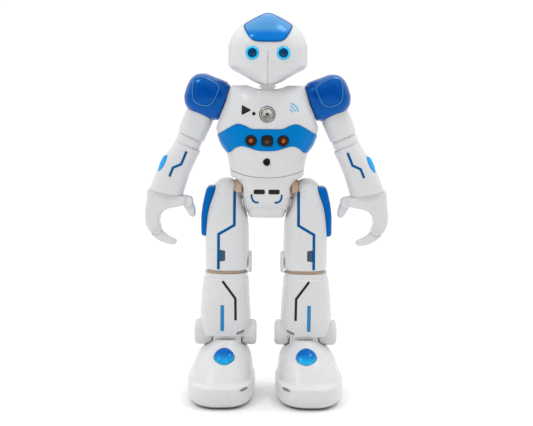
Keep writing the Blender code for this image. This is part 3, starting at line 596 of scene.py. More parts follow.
def moulded(
    name,
    colour,
    rough=(0.24, 0.36),
    grain=0.02,
    edge=1.06,
    crease=None,
    gloss=0.5,
    tint=1.0,
    painted_light_fade=None,
    glow=0.0,
):
    """Injection-moulded plastic: faint flow tone, handling haze, fine grain, edges lightened as rubbed wear
    and as painted highlight, and painted shade in creases where a crease colour is given.
    """
    s = Surface(name)
    flow = s.spread(s.noise(38, 4, distortion=0.6), 0.3, 0.7, 0.0, 1.0)
    tone = s.mix(flow, shade(colour, 0.975), shade(colour, 1.015))
    # painted light: the colour changes with height, as a sheen or a shade
    if painted_light_fade:
        tone = s.painted_light_by_height(tone, painted_light_fade)
    # edges lightened by the edge factor: rubbed wear where the factor is small, a painted highlight where it
    # is large
    rubbed_and_highlit_edges = s.math("MULTIPLY", s.edges(0.5), s.spread(s.noise(420, 5), 0.35, 0.62, 0.15, 1.0))
    tone = s.mix(s.math("MULTIPLY", rubbed_and_highlit_edges, 0.6), tone, shade(colour, edge))
    # painted shade: close creases found by ambient occlusion are coloured towards the warm crease colour
    if crease:
        near = s.node("AmbientOcclusion", {"samples": 6}, Distance=2.5 * MM).outputs["AO"]
        tone = s.mix(s.spread(near, 0.5, 0.08, 0.0, 0.85), tone, (*crease, 1.0))
    scuffs = s.spread(s.noise(900, 3, stretch=(1, 1, 0.2)), 0.62, 0.74, 0.0, 0.05)
    haze = s.math("ADD", s.spread(s.noise(60, 3), 0.3, 0.72, *rough), scuffs)
    roughness = s.math("ADD", haze, s.math("MULTIPLY", rubbed_and_highlit_edges, 0.08))
    s.shader.inputs["IOR"].default_value = 1.5
    s.shader.inputs["Specular IOR Level"].default_value = gloss
    s.shine(tone, tint, glow)
    return s.finish(tone, roughness, 0.3, 0.5, grain, s.noise(2600, 2))


def lens(name, centre, rim, glow=0.0, coat=0.6, tint=1.0, painted_light_fade=None):
    """Tinted clear plastic, clouded between two tones and polished on top."""
    s = Surface(name)
    cloud = s.spread(s.noise(300, 3, distortion=0.8), 0.35, 0.65, 0.0, 1.0)
    tone = s.mix(cloud, (*centre, 1.0), (*rim, 1.0))
    # painted light: the colour changes with height, as a sheen or a shade
    if painted_light_fade:
        tone = s.painted_light_by_height(tone, painted_light_fade)
    s.shader.inputs["Coat Weight"].default_value = coat
    s.shader.inputs["Coat Roughness"].default_value = 0.04
    s.shine(tone, tint, glow)
    roughness = s.spread(s.noise(600, 4), 0.3, 0.7, 0.05, 0.12)
    return s.finish(tone, roughness, 0.2, 0.3, 0.01, s.noise(1500, 2))


def metal(name, colour, stretch=(1, 1, 1)):
    """Plated or turned metal with fine tool marks and bright edges."""
    s = Surface(name)
    marks = s.noise(900, 4, stretch=stretch)
    tone = s.mix(s.spread(marks, 0.35, 0.65, 0.0, 1.0), shade(colour, 0.8), shade(colour, 1.05))
    tone = s.mix(s.math("MULTIPLY", s.edges(0.3), 0.5), tone, shade(colour, 1.2))
    s.shader.inputs["Metallic"].default_value = 1.0
    roughness = s.spread(s.noise(260, 5), 0.3, 0.7, 0.18, 0.34)
    return s.finish(tone, roughness, 0.15, 0.4, 0.015, marks)


WHITE = (0.69, 0.695, 0.712)
# warm brown painted into the creases of the white plastic as shade
WARM_PAINTED_SHADE = (0.50, 0.31, 0.19)
# the visor's upper part runs to a paler blue: a painted sheen, the reflection of the light overhead
VISOR_PAINTED_SHEEN = (250.6, 253.4, (0.07, 0.27, 0.58))
# the gem's top runs to a deeper blue while its lower part stays lighter: painted shade and light
GEM_PAINTED_SHADE = (30.0, 35.0, (0.0, 0.105, 0.44))
looks = {
    "white_plastic": moulded("white_abs", WHITE, edge=1.05, crease=WARM_PAINTED_SHADE, gloss=0.4),
    # lighter than the body's white and glowing faintly: painted light lifting the neck out of the head's
    # shade
    "neck_white": moulded("neck_abs_self_lit", (0.86, 0.86, 0.87), edge=1.02, gloss=0.4, glow=0.28),
    "blue_plastic": moulded("blue_abs", (0.0, 0.125, 0.48), (0.16, 0.26), edge=1.5, gloss=0.4, tint=0.1),
    "band_blue": moulded("band_blue", (0.0, 0.185, 0.56), (0.18, 0.28), edge=1.3, gloss=0.4, tint=0.05),
    # the pads' edges are lightened strongly: a painted highlight along their rims
    "pad_blue": moulded("pad_blue", (0.0, 0.068, 0.37), (0.12, 0.2), edge=2.4, gloss=0.8, tint=0.12),
    "visor_blue": moulded("visor_blue", (0.0, 0.17, 0.6), (0.1, 0.18), edge=1.2, tint=0.2, painted_light_fade=VISOR_PAINTED_SHEEN),
    # a lighter blue for the bead round each pad's face: painted highlight
    "bead_blue": moulded("bead_blue", (0.03, 0.19, 0.50), (0.12, 0.2), edge=1.8, gloss=0.9, tint=0.5),
    "line_blue": moulded("line_blue", (0.0, 0.10, 0.32), (0.2, 0.3), edge=1.2, gloss=0.3, tint=0.1),
    "pale_line": moulded("pale_line", (0.03, 0.24, 0.54), (0.2, 0.3), edge=1.2, gloss=0.3, tint=0.1),
    "light_blue": moulded("light_blue", (0.22, 0.55, 0.85), (0.25, 0.35), edge=1.1, gloss=0.3),
    "badge_blue": moulded("badge_blue", (0.03, 0.36, 0.86), (0.16, 0.26), edge=1.2, gloss=0.3, tint=0.1),
    "black_plastic": moulded("black_abs", (0.006, 0.006, 0.007), (0.3, 0.42), edge=1.8, gloss=0.3),
    "window_blue": moulded("window_blue", (0.02, 0.055, 0.11), (0.12, 0.2), edge=1.4),
    # tan for the hip and knee gaps: painted shade
    "tan_seal": moulded("tan_seal", (0.50, 0.37, 0.27), (0.5, 0.65), 0.05, edge=1.1, gloss=0.3),
    # mid grey for the notches: painted shade in their dimples
    "notch_grey": moulded("notch_grey", (0.26, 0.25, 0.24), (0.5, 0.65), 0.05, edge=1.2, gloss=0.3),
    "sole_grey": moulded("sole_grey", (0.34, 0.34, 0.345), (0.5, 0.65), 0.05, edge=1.2, gloss=0.3),
    "grey_plastic": moulded("grey_abs", (0.11, 0.11, 0.112), (0.45, 0.6), 0.05, edge=1.5, gloss=0.3),
    "rubber": moulded("black_rubber", (0.02, 0.02, 0.021), (0.65, 0.85), 0.08, edge=1.9),
    "board_green": moulded("solder_resist", (0.01, 0.12, 0.035), (0.35, 0.5), edge=1.3),
    "cell_wrap": moulded("cell_wrap", (0.02, 0.06, 0.30), (0.25, 0.4), edge=1.3),
    "cyan_lens": lens("cyan_ring", (0.0, 0.40, 0.76), (0.01, 0.50, 0.88), 0.25, coat=0.2),
    "eye_core": lens("eye_core", (0.0, 0.02, 0.07), (0.0, 0.06, 0.15), 0.1, coat=0.15, tint=0.2),
    "amber_lens": lens("amber_lens", (0.50, 0.12, 0.005), (0.26, 0.04, 0.002), 0.1, coat=0.15),
    "smoke_lens": lens("smoke_lens", (0.035, 0.008, 0.003), (0.05, 0.014, 0.006), coat=0.2),
    "gem_blue": lens("gem_blue", (0.01, 0.36, 0.75), (0.02, 0.5, 0.8), 0.05, 0.05, 0.1, GEM_PAINTED_SHADE),
    "silver_trim": metal("silver_trim", (0.60, 0.60, 0.56)),
    "dark_metal": metal("dark_metal", (0.10, 0.10, 0.09)),
    "steel": metal("steel", (0.55, 0.56, 0.58), stretch=(0.1, 1, 1)),
}
BLUES = "visor_blue badge_blue pale_line bead_blue band_blue pad_blue line_blue light_blue gem_blue"
SLOT_OF = dict.fromkeys(BLUES.split(), "blue_plastic")  # the record's slot, where its name differs
SLOT_OF.update(
    neck_white="white_plastic",
    tan_seal="rubber",
    notch_grey="rubber",
    sole_grey="grey_plastic",
    window_blue="smoke_lens",
    black_plastic="smoke_lens",
    eye_core="cyan_lens",
    dark_metal="silver_trim",
)


def settle(obj, name, body, look, *nodes):
    """Names a finished piece, gives it its finish and its body, and hides the CAD nodes it stands for."""
    obj.name = name
    obj.data.name = name
    obj.data.materials.clear()
    obj.data.materials.append(looks[look])
    obj.data.shade_smooth()
    obj.data.set_sharp_from_angle(angle=math.radians(SHARP))
    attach(obj, body)
    if nodes:
        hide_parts(*nodes)
    return obj


def mirrored(obj):
    copy = duplicate(obj)
    for vertex in copy.data.vertices:
        vertex.co.x = -vertex.co.x
    copy.data.flip_normals()
    return copy


def both_sides(obj, name, body, look, *nodes):
    """Settles obj on the left side and its mirror image on the right."""
    other = mirrored(obj)
    for item, word in ((obj, "left"), (other, "right")):
        bodies = body if body in ("head", "torso") else f"{word}_{body}"
        settle(item, f"{name}_{word}", bodies, look, *[f"{word}_{node}" for node in nodes])


def side_word(side):
    return "left" if side > 0 else "right"


# ---- Head --------------------------------------------------------------------------------


def head_solid():
    rows = [
        (216.6, 4.0, -15.0, 8.0, 2.0),
        (218.6, 9.0, -20.5, 12.0, 1.9),
        (222.4, 15.8, -23.6, 16.5, 2.0),
        (226.6, 23.6, -26.0, 20.0, 2.3),
        (227.8, 25.4, -26.6, 20.8, 2.5),
        (229.4, 25.9, -26.9, 21.6, 2.7),
        (236.0, 26.1, -27.6, 23.2, 2.8),
        (242.0, 26.0, -27.3, 23.8, 2.8),
        (247.5, 24.8, -26.2, 23.4, 2.6),
        (253.2, 21.4, -23.4, 21.4, 2.4),
        (258.2, 16.0, -19.0, 17.6, 2.2),
        (262.2, 9.6, -13.0, 12.0, 2.0),
        (264.0, 3.6, -6.0, 5.0, 2.0),
        (264.3, 0.4, -1.2, 0.8, 2.0),
    ]
    solid = level_stack(paired(rows), 72, low=0.8, count=120)
    # the face runs to a soft keel below the eyes
    for vertex in solid.data.vertices:
        x, y, z = vertex.co / MM
        if y < -4 and z < 240:
            height = min(1.0, (240 - z) / 9)
            vertex.co.y -= 1.7 * height * math.exp(-abs(x) / 2.2) * MM
    solid.data.update()
    return solid


VISOR = [(2.0, 264.5), (15.4, 256.9), (16.3, 255.6), (14.4, 251.2), (11.6, 247.0)]
VISOR += [(9.0, 245.5), (4.5, 245.0)]


def whole(right_half):
    """A closed outline from its half on the +X side, given from the top down."""
    return right_half + [(-x, z) for x, z in reversed(right_half)]


def make_head():
    solid = head_solid()
    core = offset(solid, -WALL)
    shell = cut(duplicate(solid), core)
    cut(shell, rod((0, 0, 208), (0, 0, 226), 5.7))
    crease = cross(block((-0.17, -40, 215), (0.17, -8, 239)), duplicate(solid))
    cut(shell, cut(crease, offset(solid, -0.3)))
    eye = middle("left_eye")
    for side in (-1, 1):
        cut(shell, along_y(Vector((side * eye.x, -26, eye.z)), 8, 10, EYE_RADIUS + LINE_GAP))
    cover = [
        (229.0, 23.6, 26.3, -7.5, 12.5, 4.0),
        (230.4, 23.2, 26.6, -9.0, 14.0, 4.0),
        (242.8, 23.2, 26.6, -9.0, 14.0, 4.0),
        (244.2, 23.6, 26.3, -7.5, 12.5, 4.0),
    ]
    ear = level_stack(cover, 18)
    pocket = offset(ear, GAP)
    cut(shell, mirrored(pocket), pocket)
    dish = [(25.2, 5.2), (26.3, 5.2), (26.6, 5.5), (30, 5.5)]
    hub = (0, 2.5, 236.8)
    cut(ear, turned(hub, ACROSS, dish))
    join(ear, turned(hub, ACROSS, [(24.2, 3.4), (25.9, 3.4), (26.2, 3.0)]))
    face, rear = split_at(shell, SEAM_Y)
    outline = rounded(whole(VISOR), 1.2)
    visor = inlay(face, solid, outline, AHEAD, -2, 0.6, 1.4)
    visor_z = 253.8
    inner = rounded([(x * 0.94, visor_z + (z - visor_z) * 0.93) for x, z in whole(VISOR)], 1.2)
    proud = offset(solid, 0.6)
    plate = inlay(visor, proud, inner, AHEAD, -2, 0.05, 0.5, LINE_GAP)
    discard(proud)
    settle(visor, "visor_frame", "head", "blue_plastic", "visor")
    settle(plate, "visor_plate", "head", "visor_blue")
    settle(main_part(face), "face_front", "head", "white_plastic", "face_shell")
    settle(rear, "head_back", "head", "white_plastic", "head_rear_shell")
    both_sides(ear, "ear_cap", "head", "white_plastic", "ear_cover")
    make_eye(eye)
    discard(solid)


def make_eye(eye):
    """A lit ring round a dark lens."""
    place = Vector((eye.x, EYE_Y, eye.z))
    rows = [(-0.6, 3.0), (-1.05, 3.1), (-1.35, 3.4), (-1.35, 3.65), (-1.1, 4.0)]
    ring = turned(place, REARWARD, rows + [(-0.6, EYE_RADIUS), (3.4, EYE_RADIUS)])
    cut(ring, along_y(place, 3, 1.5, 3.0))
    core_rows = [(-0.95, 0.2), (-0.9, 1.0), (-0.7, 1.9), (-0.35, 2.6), (0.0, 2.9), (1.3, 2.9)]
    core = turned(place, REARWARD, core_rows)
    both_sides(ring, "eye_ring", "head", "cyan_lens", "eye")
    both_sides(core, "eye_core", "head", "eye_core")


# ---- Body --------------------------------------------------------------------------------


def torso_solid():
    rows = [
        (150.0, 25.4, -14.2, 16.0, 2.6),
        (160.0, 25.7, -15.2, 17.0, 2.6),
        (168.0, 27.0, -17.2, 18.4, 2.5),
        (179.0, 32.2, -20.8, 20.4, 2.4),
        (188.5, 34.7, -22.4, 21.6, 2.4),
        (196.0, 33.2, -22.4, 21.8, 2.4),
        (204.0, 30.4, -20.8, 21.0, 2.4),
        (210.5, 28.4, -18.0, 18.8, 2.5),
        (214.2, 27.2, -14.8, 15.8, 2.6),
        (215.6, 26.0, -12.6, 13.8, 2.6),
        (216.2, 24.6, -11.0, 12.4, 2.6),
    ]
    return level_stack(paired(rows), 76, count=120)


def waist_arc(lower):
    """Points of the waist seam from one side to the other, shifted down by lower."""
    radius, lowest = 68.5, 154.8
    xs = np.linspace(-32, 32, 33)
    return [(x, lowest - lower + radius - math.sqrt(radius**2 - x**2)) for x in xs]


BAND_TOP = [(0, 187.0), (10.5, 187.6), (14.5, 189.8), (19.6, 191.3), (25.0, 188.6), (36.0, 181.5)]
BAND_FOOT = [(36.0, 178.8), (26.0, 170.6), (21.0, 175.2), (17.0, 176.5), (12.5, 175.4), (8.0, 173.8)]
BAND_FOOT += [(4.0, 173.1), (0, 172.9)]


def band_outline():
    return rounded(whole(BAND_TOP[1:] + BAND_FOOT[:-1]), 2.2, 6)


def shoulder_bores(side):
    """The cutters that square the body's side to the shoulder and open its axle hole."""
    out = Vector((side * SHOULDER_OUT.x, 0, SHOULDER_OUT.z))
    centre = Vector((side * SHOULDER.x, SHOULDER.y, SHOULDER.z))
    face = centre - out * (PAD_FACE + GAP)
    return rod(face, face + out * 40, 22), rod(centre - out * 30, centre, 4.5 + GAP)


def make_torso():
    solid = torso_solid()
    shell = cut(duplicate(solid), offset(solid, -WALL))
    cut(shell, slab([(-32, 120), (32, 120)] + waist_arc(0)[::-1], AHEAD, BEHIND))
    collar = 31.3
    cut(shell, turned((0, -40, 213 + collar), REARWARD, [(0, collar), (80, collar)], 144))
    cut(shell, rod((0, 0, 190), (0, 0, 230), 5 + GAP))
    for side in (-1, 1):
        cut(shell, *shoulder_bores(side))
    chest, back = split_at(shell, SEAM_Y)
    band = inlay(chest, solid, band_outline(), AHEAD, SEAM_Y - 4, 0.6, 1.4)
    for side in (-1, 1):
        face, bore = shoulder_bores(side)
        cut(band, face)
        discard(bore)
    make_sensors(chest, band)
    make_button(chest)
    make_marks(solid, chest)
    make_back(solid, back)
    settle(chest, "chest_front", "torso", "white_plastic", "chest_shell")
    settle(back, "back_rear", "torso", "white_plastic", "back_shell")
    settle(band, "band_front", "torso", "band_blue", "chest_band")
    # the neck's finish is a lighter white that also glows: painted light against the shade under the head
    neck = [(-12, 7.6), (-11.6, 8), (-10.4, 8), (-10, 7.6), (-10, 4.8), (-2.9, 4.8), (-2.8, 6.4), (-2.3, 6.0)]
    neck += [(-1.4, 4.8), (-0.4, 3.9), (1, 3.4), (5, 3.4), (5, 7.2), (5.3, 7.5), (7, 7.5)]
    settle(turned(NECK, UP, neck), "neck_stem", "torso", "neck_white", "neck_post")
    discard(solid)
    make_pelvis()


def make_sensors(chest, band):
    """Two amber lenses in black rings, a dark square window between them and a small hole below."""
    place = middle("left_sensor")
    for side in (-1, 1):
        for shell in (chest, band):
            cut(shell, along_y(Vector((side * place.x, SENSOR_Y, place.z)), 9, 9, 3.95))
    at = Vector((place.x, SENSOR_Y, place.z))
    ring_rows = [(-1.0, 2.1), (-1.5, 2.4), (-1.6, 2.7), (-1.5, 3.2), (-1.1, 3.6), (5, 3.6)]
    ring = turned(at, REARWARD, ring_rows)
    cut(ring, along_y(at, 3, 2.0, 2.1))
    bulb_rows = [(-1.15, 0.2), (-1.1, 0.7), (-0.85, 1.3), (-0.4, 1.8), (0.1, 2.0), (1.8, 2.0)]
    bulb = turned(at, REARWARD, bulb_rows)
    both_sides(ring, "sensor_ring", "torso", "black_plastic", "sensor")
    both_sides(bulb, "sensor_lens", "torso", "amber_lens")
    centre = middle("centre_sensor")
    a, b = oval(3.6, 3.5, 4.0)
    outline = np.column_stack((a + centre.x, b + centre.z))
    for shell in (chest, band):
        cut(shell, slab(grown(outline, GAP), -30, -12))
    window = pillow_slab(outline, -22.6, -15, 0.5, 0.5)
    cut(window, along_y(Vector((centre.x, -22.8, centre.z)), 0.5, 0.5, 2.1))
    pupil_rows = [(-0.2, 0.3), (0.0, 1.1), (0.15, 1.9), (1.0, 1.9)]
    pupil = turned((centre.x, -22.5, centre.z), REARWARD, pupil_rows)
    settle(window, "window_centre", "torso", "black_plastic", "centre_sensor")
    settle(pupil, "window_lens", "torso", "smoke_lens")
    hole = middle("belly_sensor")
    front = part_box("belly_sensor")[0].y / MM
    at = Vector((hole.x, front + 0.2, hole.z))
    cut(chest, along_y(at, 9, 9, 2.3 + GAP))
    rim_rows = [(-0.2, 1.7), (-0.35, 1.9), (-0.25, 2.2), (0, 2.3), (4.5, 2.3)]
    rim = turned(at, REARWARD, rim_rows)
    cut(rim, along_y(at, 1, 2.5, 1.7))
    settle(rim, "belly_ring", "torso", "black_plastic", "belly_sensor")


def make_button(chest):
    """A plated bezel with a dark groove, round a button with a cross and a dark centre."""
    place = middle("button_bezel")
    at = Vector((0, BUTTON_Y, place.z))
    cut(chest, along_y(at, 9, 9, 5.0 + GAP))
    rows = [(-0.75, 4.05), (-1.0, 4.2), (-1.1, 4.4), (-0.95, 4.7), (-0.5, 4.9), (4, 4.9)]
    bezel = turned(at, REARWARD, rows, 64)
    cut(bezel, along_y(at, 3, 9, 4.0, 64))
    settle(bezel, "bezel_ring", "torso", "silver_trim", "button_bezel")
    seat = turned(at, REARWARD, [(0.3, 5.28), (4, 5.28)], 64)
    cut(seat, along_y(at, 3, 9, 4.95, 64))
    settle(seat, "bezel_seat", "torso", "black_plastic")
    disc_rows = [(-0.9, 0.4), (-0.95, 1.6), (-1.15, 2.6), (-1.35, 3.1), (-1.3, 3.4), (-1.0, 3.7)]
    disc = turned(at, REARWARD, disc_rows + [(4, 3.7), (4, 1.5), (12, 1.5)], 64)
    for angle in (0.35, 0.35 + math.pi / 2):
        reach = Vector((math.cos(angle) * 2.7, 0, math.sin(angle) * 2.7))
        cut(disc, rod(at - reach - REARWARD * 1.15, at + reach - REARWARD * 1.15, 0.32, 12))
    cut(disc, along_y(at - REARWARD * 2, 1.4, 1.4, 1.25))
    settle(disc, "button_disc", "button", "silver_trim", "chest_button")
    dot = turned(at, REARWARD, [(-1.0, 0.2), (-0.95, 0.7), (-0.75, 1.1), (-0.3, 1.1)])
    settle(dot, "button_dot", "button", "dark_metal")


def make_marks(solid, chest):
    """Plain printed-looking marks: a triangle and a dot on one side, three arcs on the other."""
    a, b = oval(1.1, 1.1)
    triangle = rounded([(-17.0, 203.6), (-10.6, 200.2), (-17.0, 196.8)], 1.0)
    marks = [("triangle", triangle, 0.06, "black_plastic")]
    marks.append(("dot", np.column_stack((a - 8.9, b + 197.9)), 0.06, "black_plastic"))
    for number, radius in enumerate((2.2, 4.2, 6.2)):
        angles = np.radians(np.linspace(8, 82, 10))
        line = [(14.4 + radius * math.cos(a), 198.6 + radius * math.sin(a)) for a in angles]
        marks.append((f"arc_{number}", ribbon(line, 0.9), 0.05, "light_blue"))
    for name, outline, rise, look in marks:
        mark = inlay(chest, solid, outline, AHEAD, -5, rise, 0.5, 0.06)
        settle(mark, f"mark_{name}", "torso", look)


def make_back(solid, back):
    """The battery door with its latch, the switch in its slot and four screws in their wells."""
    outline = rounded([(15, 203), (-15, 203), (-15, 170), (15, 170)], 3.0)
    door = inlay(back, solid, outline, SEAM_Y + 4, BEHIND, 0.5, 1.4)
    cut(back, block((-11, 10, 173), (11, 30, 200)))
    for row in range(4):
        cut(door, block((-6, 18, 174.5 + row * 2.0), (6, 40, 175.3 + row * 2.0)))
    latch = rounded([(4.5, 205.4), (-4.5, 205.4), (-4.5, 199.8), (4.5, 199.8)], 1.0)
    tab, notch = inlaid(solid, latch, SEAM_Y + 4, BEHIND, 0.9, 1.2)
    cut(door, duplicate(notch))
    cut(back, notch)
    settle(tab, "door_latch", "torso", "grey_plastic")
    settle(door, "battery_door", "torso", "white_plastic", "battery_cover")
    x, y, z = middle("power_switch")
    cut(back, block((-5, 8, z - 1.8), (5, 25, z + 1.8)))
    a, b = oval(2.4, 1.4, 5.0)
    knob = pillow_slab(np.column_stack((x + a, z + b)), y - 3.55, y + 3.5, 0.4, 0.5)
    for step in (-1.2, 0.0, 1.2):
        cut(knob, block((x + step - 0.25, y + 2.9, z - 2), (x + step + 0.25, y + 5, z + 2)))
    settle(knob, "switch_knob", "switch", "grey_plastic", "power_switch")
    for x in (-20.5, 20.5):
        for z in (177.0, 202.0):
            surface_y = 15.2 if z < 190 else 15.6
            cut(back, rod((x, surface_y, z), (x, 40, z), 2.1))
            name = f"back_screw_{x:.0f}_{z:.0f}".replace("-", "m")
            make_screw(Vector((x, surface_y + 0.1, z)), name)


def make_screw(place, name):
    """A cross-head screw sunk in its well."""
    rows = [(-2.0, 1.2), (0.0, 1.2), (0.0, 1.9), (0.5, 1.9), (0.8, 1.5), (0.9, 0.6)]
    screw = turned(place, REARWARD, rows, 32)
    top = place + REARWARD * 0.9
    for way in (ACROSS, -UP):
        cut(screw, rod(top - way * 1.1, top + way * 1.1, 0.3, 8))
    settle(screw, name, "torso", "steel")


def leg_swung(obj, z, degrees):
    """obj turned about a level axis across the leg at height z."""
    return swung(obj, (0, LEG_Y, z), "X", degrees)


def round_leg(z, rows, count=64):
    """A round solid about a level axis across the leg at height z."""
    return turned((0, LEG_Y, z), ACROSS, rows, count)


def barrel(grow):
    """The pelvis's hip barrel, round about the hip axis and rounded off at its ends."""
    half = [(11.4, 14.7), (12.9, 13.8), (14.2, 12.4), (15.4, 10.2), (16.2, 7.6), (16.8, 4.6)]
    half.append((17.0, 1.5))
    profile = [(-x - grow, radius + grow) for x, radius in reversed(half)]
    profile += [(x + grow, radius + grow) for x, radius in half]
    return round_leg(HIP.z, profile, 80)


def make_pelvis():
    rows = [
        (141.0, 16.6, -10.4, 18.4, 5.0),
        (147.0, 17.0, -11.4, 18.4, 4.0),
        (150.6, 18.4, -12.0, 18.0, 3.6),
        (152.8, 21.0, -12.6, 17.4, 3.2),
        (154.6, 24.6, -13.4, 16.6, 2.8),
        (156.5, 25.3, -14.0, 16.4, 2.6),
        (164.0, 25.5, -14.4, 16.6, 2.6),
    ]
    solid = level_stack(paired(rows), 40)
    cut(solid, slab([(-32, 190), (32, 190)] + waist_arc(GAP)[::-1], AHEAD, BEHIND))
    lower = [
        (126.4, 11.4, -5.4, 9.0, 4.0),
        (127.1, 12.2, -6.8, 10.4, 4.0),
        (129.0, 12.5, -8.0, 11.6, 4.0),
        (132.0, 12.5, -8.6, 12.2, 4.0),
        (138.0, 12.4, -6.0, 8.0, 4.0),
    ]
    stem = block((-14.3, -7.5, 150), (14.3, 9.3, 160.4))
    join(solid, barrel(0), level_stack(paired(lower), 20), stem)
    join(solid, across(-23, 23, LEG_Y, HIP.z, HIP_STUB))
    outer = duplicate(solid)
    cut(solid, block((-12, -5.5, 135), (12, 7.5, 170)))
    for side in (-1, 1):
        a, b = oval(3.7, 1.55, 6.0)
        outline = np.column_stack((side * 5.0 + a, 144.8 + b))
        vent = inlay(solid, outer, outline, AHEAD, -2, -0.15, 1.1, LINE_GAP)
        for step in (-1.8, 0.0, 1.8):
            x = side * 5.0 + step
            cut(vent, block((x - 0.2, -30, 143.9), (x + 0.2, -10.4, 145.7)))
        settle(vent, f"vent_{side_word(side)}", "torso", "black_plastic")
        hook = [(10.3, 143.0), (10.1, 140.6), (9.2, 138.6), (7.6, 137.5), (5.4, 137.4)]
        line = ribbon([(side * x, z) for x, z in hook], 1.2)
        trim = inlay(solid, outer, line, AHEAD, -2, 0.08, 0.7, 0.1)
        settle(trim, f"hip_hook_{side_word(side)}", "torso", "line_blue")
    discard(outer)
    settle(solid, "pelvis_body", "torso", "white_plastic", "pelvis_shell")
    make_hip_gap_shade()


def make_hip_gap_shade():
    """A tan ring between the pelvis and the top of each thigh, round about the hip axis: painted shade, the
    warm shadow in the hip gap.
    """
    rows = [(16.9, 8.0), (17.0, 11.8), (17.4, 12.2), (20.8, 10.6), (21.6, 9.2), (21.8, 8.0)]
    seal = round_leg(HIP.z, rows, 72)
    for degrees in HIP_SWEEP:
        thigh = level_stack(thigh_rows(), 60, grow=GAP)
        cut(seal, leg_swung(thigh, HIP.z, degrees))
    cut(seal, block((10, -30, 100), (30, 40, HIP.z + 1.5)))
    cut(seal, barrel(0.1))
    both_sides(seal, "hip_gap_shade", "torso", "tan_seal")


# ---- Arms --------------------------------------------------------------------------------


def upper_arm_solid(grow=0.0):
    end = 27 + grow
    rows = [(-end, -7.5, 8.5, 9.6, 2.5), (-16, -9.3, 10.4, 9.6, 2.5), (-4, -9.0, 9.9, 9.6, 2.5)]
    rows.append((-3.4, -8.7, 9.6, 9.5, 2.5))
    eased = 0 if grow else 0.5
    return limb_stack(ELBOW, ARM_OUT, ARM_DOWN, rows, 30, 0, eased, grow=grow)


def make_pad():
    """The domed shoulder cover, with a raised face, its stub axle and its socket for the arm."""
    rows = [
        (-PAD_FACE, 11.6, 11.6),
        (-11.6, 12.6, 12.4),
        (-9.9, 13.2, 13.0),
        (-9.7, 13.7, 13.5),
        (-3.0, 14.2, 14.0),
        (5.0, 14.1, 13.8),
        (10.2, 12.5, 12.4),
        (13.4, 9.6, 9.8),
        (15.2, 5.4, 5.6),
        (15.8, 0.4, 0.5),
    ]
    table = [(u, half_v, half_y, 3.0) for u, half_v, half_y in rows]
    rings = []
    for u, half_v, half_y, power in flowing(table, 54):
        centre = SHOULDER + SHOULDER_OUT * u - SHOULDER_DOWN * (0.05 * max(u, 0))
        a, b = oval(half_v, half_y, power)
        rings.append(tilted(centre, a, -SHOULDER_DOWN, b, REARWARD))
    pad = loft(rings)
    face = [(49.4, 219.6), (50.2, 209.0), (47.6, 204.4), (41.5, 202.4), (36.9, 204.4)]
    face += [(34.2, 209.4), (32.4, 215.2), (37.6, 219.4), (44.6, 221.8)]
    outline = flowing_loop(face, 6)
    body = duplicate(pad)
    for degrees in (0, 25, 50, 90):
        angle = math.radians(degrees)
        edge = grown(outline, -0.9 * (1 - math.cos(angle)))
        join(pad, cross(slab(edge, AHEAD, 2), offset(body, 0.2 + 0.9 * math.sin(angle))))
    # the narrower bead, in a lighter blue round the raised face, is a painted highlight on its rim; the wider
    # one cuts its seat
    beads = []
    for out, inside, rise in ((0.25, -0.45, 1.3), (0.35, -0.55, 2.5)):
        bead = cross(slab(grown(outline, out), AHEAD, -2), offset(body, rise))
        beads.append(cut(bead, slab(grown(outline, inside), -60, 20), offset(body, out - 0.8)))
    cut(pad, beads[1])
    both_sides(beads[0], "shoulder_highlight_bead", "upper_arm", "bead_blue")
    discard(body)
    cut(pad, upper_arm_solid(GAP))
    join(pad, rod(SHOULDER - SHOULDER_OUT * 17.5, SHOULDER - SHOULDER_OUT * 10.5, 4.5))
    both_sides(pad, "shoulder_dome", "upper_arm", "pad_blue", "shoulder_pad")


def elbow_drum(grow):
    """A drum on the elbow's axis that stays just inside the sleeves' own section."""
    centre, half, radius = 0.45, 8.75, 8.9
    profile = []
    for degrees in range(-85, 86, 10):
        p = half * math.sin(math.radians(degrees))
        r = radius * (1 - abs(p / half) ** 2.5) ** 0.4
        profile.append((centre + p * (1 + grow / half), r + grow))
    return turned(ELBOW, ARM_OUT, profile, 72)


def make_upper_arm():
    sleeve = upper_arm_solid()
    cut(sleeve, elbow_drum(GAP))
    join(sleeve, rod(ELBOW - ARM_OUT * 3, ELBOW + ARM_OUT * 3, 6.0))
    neck = [(-14, -3, 3, 2.4, 6.0), (-7, -3, 3, 2.4, 6.0), (0, -3, 3, 2.4, 6.0)]
    join(sleeve, limb_stack(ELBOW, ARM_OUT, ARM_DOWN, neck, 4, count=16))
    both_sides(sleeve, "arm_sleeve", "upper_arm", "white_plastic", "upper_arm")


def elbow_slot():
    """The drum's slot for the tongue, open over the angles that the elbow turns through."""
    outline = [(0.0, 0.0)]
    for degrees in (-24, 15, 56):
        angle = math.radians(degrees)
        outline.append((-math.sin(angle) * 16, -math.cos(angle) * 16))
    rings = []
    for p in (-3.5, 3.5):
        rings.append([ELBOW + ARM_OUT * p + REARWARD * y + ARM_DOWN * q for y, q in outline])
    return loft(rings)


